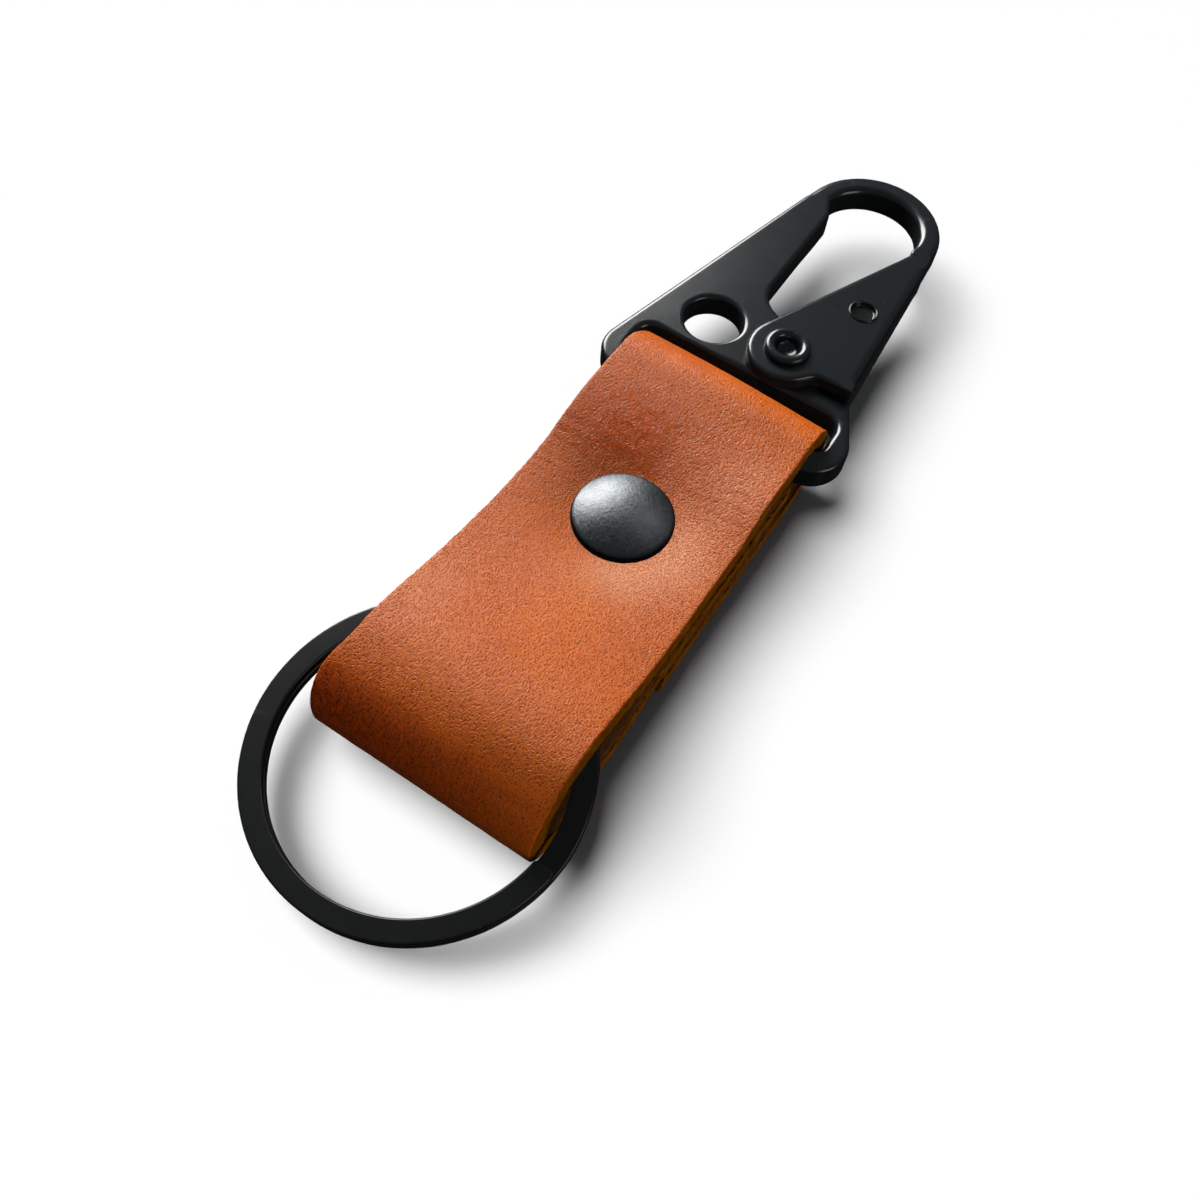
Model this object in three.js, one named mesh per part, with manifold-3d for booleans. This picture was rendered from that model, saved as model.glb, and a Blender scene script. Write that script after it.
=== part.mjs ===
// Leather key strap with a hook-and-gate snap clip at one end and a flat split ring at the other.
// Millimetres, +Z up. +X runs along the strap from the split ring towards the clip's hook.
import * as THREE from 'three';
import { mergeVertices } from 'three/addons/utils/BufferGeometryUtils.js';
import Module from 'manifold-3d';

const wasm = await Module();
wasm.setup();

// ---------------------------------------------------------------- driving dimensions
const ORIGIN = { x: 15.96, y: -1.61, z: 0 };   // moves the layout below to the middle of its own footprint

const STRAP_W = 25.4;        // width of the leather strip
const STRAP_T = 2.9;         // thickness of one layer
const RIVET = { x: -25.4, y: 0.45 };   // strap rivet
const RIVET_HOLE_R = 2.3;
const CAP_R = 5.65;          // domed rivet cap
const CAP_Z = 9.05;          // underside of the cap's rim
const CAP_SEAT_Z = 8.85;     // leather pressed down under the cap
const BACK_CAP_R = 5.2;
const BACK_SEAT_Z = 1.35;    // leather pressed up over the back cap
const POST_R = 1.95;

const BAR_X = -4.1;          // slot bar of the clip = axis that the clip swings on
const BAR_Z = 6.27;
const CLIP_Y = 0.5;          // the clip sits a little to one side in its slot
const CLIP_PITCH = 3.15;     // degrees, hook end raised
const BODY_T = 3.4;          // clip plate
const BODY_EDGE = 0.55;      // rounded edge of the plate
const SLOT_HALF = 13.7;      // half length of the strap slot
const SLOT_NEAR = 1.4;       // bar's inner edge
const SLOT_FAR = 7.1;
const SLOT_FAR_R = 2.0;      // round far corners of the slot
const HOOK = { u: 39.2, v: -1.8, ro: 9.35, ri: 6.7 };
const ARM_V = 3.55;          // inner edge of the long arm
const HOLE = { u: 12.1, v: 6.9, r: 3.75 };
const PIVOT = { u: 11.6, v: -3.42 };
const LOBE_R = 5.4;          // body lobe round the pivot
const LEDGE_U = 9.8;        // stop face for the lever's heel
const NOSE_R = 26.5;         // hook nose ends on this arc about the pivot
const SPRING_POCKET_R = 3.45;

const HUB_R = 4.85;          // lever hub
const TIP_R = 26.1;          // lever tip ends on this arc about the pivot
const HEEL_U = 10.1;
const HEEL_V = -13.0;        // spine's outside at the heel ...
const SPINE_TIP_V = -11.5;   // ... and at the tip
const PLATE_IN = 1.85;       // lever plates lie from here ...
const PLATE_OUT = 3.35;      // ... to here, above and below the clip plate's middle
const WEB_T = 1.2;           // lever spine
const PIN = { u: 23.0, v: -8.3, r: 1.65 };
const WIRE_R = 0.2;          // gate spring wire

const RING = { x: -58.9, y: 1.8, z: 4.75, ro: 17.5, ri: 15.15, coil: 1.05, gap: 0.06, tilt: 7.2, roll: -2.4, end: -97 };

// ---------------------------------------------------------------- helpers
const RAD = Math.PI / 180;
const V2 = (x, y) => new THREE.Vector2(x, y);

function solid(geometry) {
  const g = geometry.clone();
  for (const k of Object.keys(g.attributes)) if (k !== 'position') g.deleteAttribute(k);
  const m = mergeVertices(g, 1e-4);
  const tri = m.index ? Uint32Array.from(m.index.array) : Uint32Array.from({ length: m.attributes.position.count }, (_, i) => i);
  const mesh = new wasm.Mesh({ numProp: 3, vertProperties: Float32Array.from(m.attributes.position.array), triVerts: tri });
  mesh.merge();
  return new wasm.Manifold(mesh);
}
function geometryOf(man) {
  const m = man.getMesh();
  const g = new THREE.BufferGeometry();
  g.setAttribute('position', new THREE.BufferAttribute(Float32Array.from(m.vertProperties), 3));
  g.setIndex(new THREE.BufferAttribute(Uint32Array.from(m.triVerts), 1));
  g.computeVertexNormals();
  return g;
}
// arc as points, angles in degrees, both ends included
function arc(cx, cy, r, a0, a1, n) {
  const out = [];
  for (let i = 0; i <= n; i++) {
    const a = (a0 + (a1 - a0) * i / n) * RAD;
    out.push(V2(cx + r * Math.cos(a), cy + r * Math.sin(a)));
  }
  return out;
}
function plate(points, z0, z1, edge = 0, holes = [], seg = 2) {
  const s = new THREE.Shape(points);
  for (const h of holes) s.holes.push(new THREE.Path(h));
  const g = new THREE.ExtrudeGeometry(s, {
    depth: z1 - z0 - 2 * edge, bevelEnabled: edge > 0, bevelThickness: edge, bevelSize: edge, bevelOffset: -edge, bevelSegments: seg, steps: 1,
  });
  g.translate(0, 0, z0 + edge);
  return g;
}
function cylinder(cx, cy, r, z0, z1, n = 32) {
  const g = new THREE.CylinderGeometry(r, r, z1 - z0, n);
  g.rotateX(Math.PI / 2);
  g.translate(cx, cy, (z0 + z1) / 2);
  return g;
}
function turned(profile, n = 40) {
  const g = new THREE.LatheGeometry(profile.map(([r, z]) => V2(r, z)), n);
  g.rotateX(Math.PI / 2);
  return g;
}
const material = (color, roughness, metalness) => new THREE.MeshStandardMaterial({ color, roughness, metalness });
function piece(name, geometry, mat) {
  const m = new THREE.Mesh(geometry, mat);
  m.name = name;
  return m;
}

// ---------------------------------------------------------------- materials
const leather = material(0xa8542a, 0.55, 0.0);
const blackMetal = material(0x24282a, 0.45, 0.6);
const gunmetal = material(0x3a3d40, 0.32, 0.9);
const ringMetal = material(0x1c1e1f, 0.5, 0.6);
const springSteel = material(0x8a8d90, 0.35, 1.0);

const keychain = new THREE.Group();
keychain.position.set(ORIGIN.x, ORIGIN.y, ORIGIN.z);

// ---------------------------------------------------------------- leather strap
// One strip in side view: end beside the bar, middle layer, bend round the ring, top layer,
// bend round the bar, bottom layer, end past the rivet.
const path = [
  [-8.7, 6.15], [-12, 6.1], [-16, 5.9], [-20, 5.65], [-24, 5.5], [-28, 5.4], [-32, 5.3], [-34, 5.2], [-36, 5.0],
  [-39, 4.15], [-42, 3.45], [-46, 2.85], [-49, 2.4], [-52, 1.95], [-54.3, 1.7],
  [-56.4, 1.85], [-58.2, 2.75], [-59.3, 4.3], [-59.6, 6.2], [-59.25, 8.0], [-58.3, 9.6], [-56.85, 10.9], [-55.1, 11.65],
  [-53.2, 11.95], [-51.5, 11.9], [-49.5, 11.6], [-46.8, 10.95], [-44.1, 10.2], [-41.35, 9.57], [-38.65, 9.12], [-35.9, 8.88], [-33, 8.72],
  [-30, 8.65], [-26.3, 8.64], [-23, 8.8], [-20.7, 9.15], [-18.3, 9.8], [-16.3, 10.35], [-14, 10.75], [-11, 10.97], [-8, 10.97],
];
for (let k = 0; k <= 10; k++) {
  const a = (90 - 18 * k) * RAD;
  path.push([-5.2 + 4.75 * Math.cos(a), 6.2 + 4.75 * Math.sin(a)]);
}
path.push([-9, 1.45], [-14, 1.45], [-20, 1.45], [-26.3, 1.45], [-32, 1.45], [-36.5, 1.45]);
const line = new THREE.CatmullRomCurve3(path.map(([x, z]) => new THREE.Vector3(x, z, 0)), false, 'centripetal');
const STRAP_STEPS = 120;
const outer = [], inner = [];
for (let i = 0; i <= STRAP_STEPS; i++) {
  const p = line.getPointAt(i / STRAP_STEPS), t = line.getTangentAt(i / STRAP_STEPS);
  const nx = -t.y, ny = t.x;
  // the bottom layer lies flat, so nothing goes below it
  outer.push(V2(p.x + nx * STRAP_T / 2, Math.max(0, p.y + ny * STRAP_T / 2)));
  inner.push(V2(p.x - nx * STRAP_T / 2, Math.max(0, p.y - ny * STRAP_T / 2)));
}
const strapGeo = plate([...outer, ...inner.reverse()], -STRAP_W / 2, STRAP_W / 2);
strapGeo.rotateX(Math.PI / 2);   // side view becomes the X-Z plane
let strap = solid(strapGeo)
  .subtract(solid(cylinder(RIVET.x, RIVET.y, RIVET_HOLE_R, -1, 14, 28)))
  .subtract(solid(cylinder(RIVET.x, RIVET.y, CAP_R + 0.35, CAP_SEAT_Z, 14, 36)))
  .subtract(solid(cylinder(RIVET.x, RIVET.y, BACK_CAP_R + 0.35, -1, BACK_SEAT_Z, 36)));
keychain.add(piece('leather_strap', geometryOf(strap), leather));

// ---------------------------------------------------------------- strap rivet
const rivet = new THREE.Group();
rivet.position.set(RIVET.x, RIVET.y, 0);
keychain.add(rivet);
// domed cap: thin shell over the post's end
rivet.add(piece('strap_rivet_cap', turned([
  [0, 1.2], [2.3, 1.15], [2.3, 0], [CAP_R - 0.3, 0], [CAP_R, 0.25], [CAP_R, 0.72], [CAP_R - 0.22, 1.07], [4.7, 1.5], [3.7, 1.85], [2.5, 2.11], [1.2, 2.25], [0, 2.3],
].map(([r, z]) => [r, z + CAP_Z])), gunmetal));
// post with its flange, clenched inside the cap
rivet.add(piece('strap_rivet_post', turned([
  [0, 0.75], [3.6, 0.75], [3.6, 1.15], [POST_R, 1.25], [POST_R, CAP_Z + 0.75], [POST_R - 0.5, CAP_Z + 1.05], [0, CAP_Z + 1.05],
], 32), gunmetal));
// back cap, pressed into the bottom layer
rivet.add(piece('strap_rivet_back_cap', turned([
  [0, 0.1], [4.2, 0.1], [4.9, 0.25], [BACK_CAP_R, 0.55], [BACK_CAP_R, 0.9], [4.9, 1.05], [3.9, 1.05], [3.75, 0.62], [0, 0.62],
]), gunmetal));

// ---------------------------------------------------------------- snap clip
const clip = new THREE.Group();
clip.position.set(BAR_X, CLIP_Y, BAR_Z);
clip.rotation.y = -CLIP_PITCH * RAD;
keychain.add(clip);

// outline of the clip plate, counter-clockwise, from the bar's outer edge
const noseIn = PIVOT.u + Math.sqrt(NOSE_R ** 2 - (HOOK.v - HOOK.ri - PIVOT.v) ** 2);
const noseOut = PIVOT.u + Math.sqrt(NOSE_R ** 2 - (HOOK.v - HOOK.ro - PIVOT.v) ** 2);
const taperA = 76;   // direction of the long tapering side's normal
const outline = [
  ...arc(2.4, -12.1, 4.5, 180, 298, 10),
  V2(LEDGE_U, -13.4), V2(LEDGE_U, -8.8),
  ...arc(PIVOT.u, PIVOT.v, LOBE_R, -100, 22, 10),
  V2(17.7, 0.6), V2(18.15, 1.6), V2(18.9, 2.55), V2(20.0, 3.25), V2(21.4, ARM_V),
  V2(37.6, ARM_V),
  ...arc(HOOK.u, HOOK.v, HOOK.ri, 81, -90, 20),
  V2(noseIn, HOOK.v - HOOK.ri),
  V2(noseOut, HOOK.v - HOOK.ro),
  ...arc(HOOK.u, HOOK.v, HOOK.ro, -90, taperA, 20),
  ...arc(2.5, 12.45, 4.2, taperA, 180, 8),
];
const slot = [
  ...arc(SLOT_NEAR + 1.2, -SLOT_HALF + 1.2, 1.2, 180, 270, 4),
  ...arc(SLOT_FAR - SLOT_FAR_R, -SLOT_HALF + SLOT_FAR_R, SLOT_FAR_R, 270, 360, 6),
  ...arc(SLOT_FAR - SLOT_FAR_R, SLOT_HALF - SLOT_FAR_R, SLOT_FAR_R, 0, 90, 6),
  ...arc(SLOT_NEAR + 1.2, SLOT_HALF - 1.2, 1.2, 90, 180, 4),
];
const hole = arc(HOLE.u, HOLE.v, HOLE.r, 0, 360 - 12, 29);
const H = BODY_T / 2;
let body = solid(plate(outline, -H, H, BODY_EDGE, [slot, hole]));
// bore for the pivot rivet, pocket for the spring, ways for its two legs
body = body
  .subtract(solid(cylinder(PIVOT.u, PIVOT.v, 2.1, -3, 3, 28)))
  .subtract(solid(cylinder(PIVOT.u, PIVOT.v, SPRING_POCKET_R, -3, 0.05, 32)))
  .subtract(solid(plate([V2(PIVOT.u, PIVOT.v - 4.2), V2(PIVOT.u + 6.6, PIVOT.v - 5.6), V2(PIVOT.u + 6.6, PIVOT.v + 0.9), V2(PIVOT.u + 2.5, PIVOT.v + 0.9)], -3, 0.05)))
  .subtract(solid(plate([V2(PIVOT.u - 3.2, PIVOT.v - 0.2), V2(PIVOT.u - 2.2, PIVOT.v - 0.2), V2(PIVOT.u - 2.2, PIVOT.v + 4.9), V2(PIVOT.u - 3.2, PIVOT.v + 4.9)], -3, 0.05)));
clip.add(piece('clip_body', geometryOf(body), blackMetal));

// gate lever: two plates joined by a spine on the outside, straddling the clip plate
const onTip = (v) => V2(PIVOT.u + Math.sqrt(TIP_R ** 2 - (v - PIVOT.v) ** 2), v);
const tipIn = V2(36.7, -8.8);
const leverLine = [
  V2(HEEL_U, HEEL_V), onTip(SPINE_TIP_V), onTip(-9.9), tipIn,
  ...arc(PIVOT.u, PIVOT.v, HUB_R, 67, 222, 16),
  V2(8.7, -7.3), V2(9.4, -7.85), V2(9.9, -8.4), V2(HEEL_U, -9.1),
];
const pinHole = arc(PIN.u, PIN.v, PIN.r + 0.05, 0, 345, 23);
const pivotHole = arc(PIVOT.u, PIVOT.v, 2.1, 0, 345, 23);
const topPlate = solid(plate(leverLine, PLATE_IN, PLATE_OUT, 0, [pinHole, pivotHole]));
const lowPlate = solid(plate(leverLine, -PLATE_OUT, -PLATE_IN, 0, [pinHole, pivotHole]));
const spine = solid(plate([
  V2(HEEL_U, HEEL_V), onTip(SPINE_TIP_V), onTip(SPINE_TIP_V + WEB_T), V2(HEEL_U, HEEL_V + WEB_T),
], -PLATE_OUT + 0.3, PLATE_OUT - 0.3));
clip.add(piece('gate_lever', geometryOf(topPlate.add(lowPlate).add(spine)), blackMetal));

// semi-tubular pivot rivet: rolled ring with a recess above, low round head below
const pivot = new THREE.Group();
pivot.position.set(PIVOT.u, PIVOT.v, 0);
clip.add(pivot);
pivot.add(piece('gate_pivot_rivet', turned([
  [0, -4.25], [1.8, -4.2], [2.6, -4.0], [2.9, -3.7], [2.9, -3.45], [2.0, -3.45], [2.0, 3.45], [2.5, 3.45], [2.62, 3.8], [2.45, 4.15], [2.1, 4.28], [1.78, 4.12], [1.7, 3.5], [1.3, 3.0], [0, 2.7],
], 36), blackMetal));

// pin through both lever plates that the spring's long leg bears on
clip.add(piece('spring_pin', cylinder(PIN.u, PIN.v, PIN.r, -3.25, 3.1, 28), blackMetal));

// torsion spring on the rivet's barrel
class SpringPath extends THREE.Curve {
  getPoint(t, target = new THREE.Vector3()) {
    const R = 2.72, turns = 2.25, L1 = 4.4, L2 = 12.2, Lc = 2 * Math.PI * R * turns, L = L1 + Lc + L2;
    const s = t * L, z0 = -1.42, z1 = -0.34;
    if (s < L1) return target.set(PIVOT.u - R, PIVOT.v + (L1 - s), z0);
    if (s < L1 + Lc) {
      const k = (s - L1) / Lc, a = Math.PI + k * turns * 2 * Math.PI;
      return target.set(PIVOT.u + R * Math.cos(a), PIVOT.v + R * Math.sin(a), z0 + (z1 - z0) * k);
    }
    const a = Math.PI + turns * 2 * Math.PI, q = s - L1 - Lc;
    return target.set(PIVOT.u + R * Math.cos(a) - q * Math.sin(a) , PIVOT.v + R * Math.sin(a) + q * Math.cos(a) - 0.005 * q, z1);
  }
}
const wire = new THREE.Shape(arc(0, 0, WIRE_R, 0, 315, 7));
clip.add(piece('gate_spring', new THREE.ExtrudeGeometry(wire, { steps: 96, extrudePath: new SpringPath() }), springSteel));

// ---------------------------------------------------------------- split ring
// one flat band in two coils, stepping from the upper to the lower coil beside its ends
function splitRing() {
  const { ro, ri, coil, gap, end } = RING;
  const rise = (coil + gap) / 2, stepA = 26 * RAD, back = 3 * RAD, total = 4 * Math.PI - stepA - 2 * back - 3 * RAD;
  const c = 0.16;
  const section = [[ri + c, -coil / 2], [ro - c, -coil / 2], [ro, -coil / 2 + c], [ro, coil / 2 - c], [ro - c, coil / 2], [ri + c, coil / 2], [ri, coil / 2 - c], [ri, -coil / 2 + c]];
  const n = 136, pos = [], idx = [];
  for (let i = 0; i <= n; i++) {
    const th = total * i / n, a = end * RAD - th;
    let k = (th - (2 * Math.PI - stepA - back)) / stepA;
    k = Math.min(1, Math.max(0, k));
    const z = rise - 2 * rise * (k * k * (3 - 2 * k));
    for (const [r, h] of section) pos.push(r * Math.cos(a), r * Math.sin(a), z + h);
  }
  const m = section.length;
  for (let i = 0; i < n; i++) for (let j = 0; j < m; j++) {
    const a = i * m + j, b = i * m + (j + 1) % m, d = a + m, e = b + m;
    idx.push(a, b, d, b, e, d);
  }
  for (let j = 1; j < m - 1; j++) {
    idx.push(0, j + 1, j);
    idx.push(n * m, n * m + j, n * m + j + 1);
  }
  const g = new THREE.BufferGeometry();
  g.setAttribute('position', new THREE.Float32BufferAttribute(pos, 3));
  g.setIndex(idx);
  g.computeVertexNormals();
  return g;
}
const ring = new THREE.Group();
ring.position.set(RING.x, RING.y, RING.z);
ring.rotation.set(RING.roll * RAD, -RING.tilt * RAD, 0);
ring.add(piece('split_ring', splitRing(), ringMetal));
keychain.add(ring);

export default keychain;
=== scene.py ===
"""Looks of a folded leather key strap with a snap clip and a split ring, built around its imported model."""
import math

import bmesh
import bpy
import numpy as np
from mathutils import Matrix, Vector, noise
from mathutils.geometry import delaunay_2d_cdt


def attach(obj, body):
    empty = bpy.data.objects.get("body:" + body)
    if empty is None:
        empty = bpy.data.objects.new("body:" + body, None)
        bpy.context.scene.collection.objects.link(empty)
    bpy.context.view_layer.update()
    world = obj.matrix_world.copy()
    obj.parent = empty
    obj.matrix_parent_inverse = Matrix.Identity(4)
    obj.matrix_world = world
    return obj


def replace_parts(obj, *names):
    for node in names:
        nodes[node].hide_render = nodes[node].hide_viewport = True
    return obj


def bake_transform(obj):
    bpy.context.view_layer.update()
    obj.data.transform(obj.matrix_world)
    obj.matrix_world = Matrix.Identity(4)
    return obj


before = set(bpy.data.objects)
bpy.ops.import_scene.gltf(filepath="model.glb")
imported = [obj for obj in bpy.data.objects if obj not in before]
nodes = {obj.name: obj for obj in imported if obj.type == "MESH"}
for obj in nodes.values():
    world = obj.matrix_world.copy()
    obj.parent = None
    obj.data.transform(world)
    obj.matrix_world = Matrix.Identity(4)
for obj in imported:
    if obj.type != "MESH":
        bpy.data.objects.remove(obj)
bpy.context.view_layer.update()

MM = 0.001
OX, OY = 15.96, -1.61          # layout to row frame, mm
RAD = math.pi / 180

# ------------------------------------------------------------------ layout, mm, as in the solids
STRAP_W, STRAP_T = 25.4, 2.9
RIVET_X, RIVET_Y, CAP_Z, CAP_R = -25.4, 0.45, 9.05, 5.65
BAR = (-4.1, 0.5, 6.27)
PITCH = 3.15 * RAD
BODY_H = 1.7
SLOT_HALF, SLOT_NEAR, SLOT_FAR, SLOT_FAR_R = 13.7, 1.4, 7.1, 2.0
HOOK = (39.28, -1.76, 9.52, 6.66)
ARM_V = 3.55
HOLE = (12.1, 6.9, 3.75)
PIVOT = (11.6, -3.42)
LOBE_R, LEDGE_U, NOSE_R = 5.4, 9.8, 26.5
HUB_R, TIP_R, HEEL_U, HEEL_V, SPINE_V = 4.85, 26.1, 10.1, -13.0, -11.5
PIN = (23.0, -8.3, 1.65)
RING = dict(x=-58.9, y=1.8, z=4.75, ro=17.5, ri=15.15, coil=1.05, gap=0.06, tilt=7.2, roll=-2.4, end=-97.0)


def row(p):
    """layout mm -> row frame m"""
    p = np.asarray(p, float)
    return (p + np.array([OX, OY, 0.0])) * MM


def clip_row(p):
    """clip's own (along, across, up) mm -> row frame m"""
    p = np.asarray(p, float)
    c, s = math.cos(PITCH), math.sin(PITCH)
    out = np.empty_like(p)
    out[:, 0] = BAR[0] + p[:, 0] * c - p[:, 2] * s
    out[:, 1] = BAR[1] + p[:, 1]
    out[:, 2] = BAR[2] + p[:, 0] * s + p[:, 2] * c
    return row(out)


def ring_row(p):
    p = np.asarray(p, float)
    a, b = -RING["tilt"] * RAD, RING["roll"] * RAD
    x = p[:, 0] * math.cos(a) + p[:, 2] * math.sin(a)
    z = -p[:, 0] * math.sin(a) + p[:, 2] * math.cos(a)
    y = p[:, 1] * math.cos(b) - z * math.sin(b)
    z = p[:, 1] * math.sin(b) + z * math.cos(b)
    return row(np.c_[x + RING["x"], y + RING["y"], z + RING["z"]])


# ------------------------------------------------------------------ mesh helpers
def new_object(name, verts, faces, mats=(), face_mat=None, smooth=True):
    me = bpy.data.meshes.new(name)
    me.from_pydata([tuple(map(float, v)) for v in verts], [], [tuple(map(int, f)) for f in faces])
    me.validate()
    ob = bpy.data.objects.new(name, me)
    bpy.context.scene.collection.objects.link(ob)
    for m in mats:
        me.materials.append(m)
    if face_mat is not None:
        me.polygons.foreach_set("material_index", np.asarray(face_mat, np.int32))
    me.polygons.foreach_set("use_smooth", np.full(len(me.polygons), smooth))
    me.update()
    return ob


def outward(ob):
    """faces point out, doubles merged"""
    bm = bmesh.new()
    bm.from_mesh(ob.data)
    bmesh.ops.remove_doubles(bm, verts=bm.verts, dist=2e-7)
    bmesh.ops.recalc_face_normals(bm, faces=bm.faces)
    bm.to_mesh(ob.data)
    bm.free()
    ob.data.update()


def arc(cx, cy, r, a0, a1, step=3.0):
    n = max(2, int(abs(a1 - a0) / step))
    a = np.radians(np.linspace(a0, a1, n + 1))
    return np.c_[cx + r * np.cos(a), cy + r * np.sin(a)]


def join_pts(*parts):
    return np.vstack([np.atleast_2d(np.asarray(p, float)) for p in parts])


def resample(P, step):
    Q = np.vstack([P, P[:1]])
    d = np.r_[0, np.cumsum(np.linalg.norm(np.diff(Q, axis=0), axis=1))]
    n = max(12, int(round(d[-1] / step)))
    t = np.arange(n) * d[-1] / n
    return np.c_[np.interp(t, d, Q[:, 0]), np.interp(t, d, Q[:, 1])]


def smooth_loop(P, sigma_pts):
    n = len(P)
    k = np.arange(n)
    k = np.minimum(k, n - k)
    g = np.exp(-0.5 * (k / max(sigma_pts, 1e-6)) ** 2)
    g /= g.sum()
    G = np.fft.rfft(g)
    return np.c_[[np.fft.irfft(np.fft.rfft(P[:, i]) * G, n) for i in range(2)]].T


def area2(P):
    Q = np.roll(P, -1, 0)
    return float(np.sum(P[:, 0] * Q[:, 1] - Q[:, 0] * P[:, 1]))


def inside(P, pts):
    """points in polygon, even-odd"""
    x, y = pts[:, 0], pts[:, 1]
    r = np.zeros(len(pts), bool)
    Q = np.roll(P, -1, 0)
    for (x0, y0), (x1, y1) in zip(P, Q):
        c = (y0 > y) != (y1 > y)
        with np.errstate(divide="ignore", invalid="ignore"):
            xi = (x1 - x0) * (y - y0) / (y1 - y0) + x0
        r ^= c & (x < xi)
    return r


FLAT = 1.22


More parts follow.
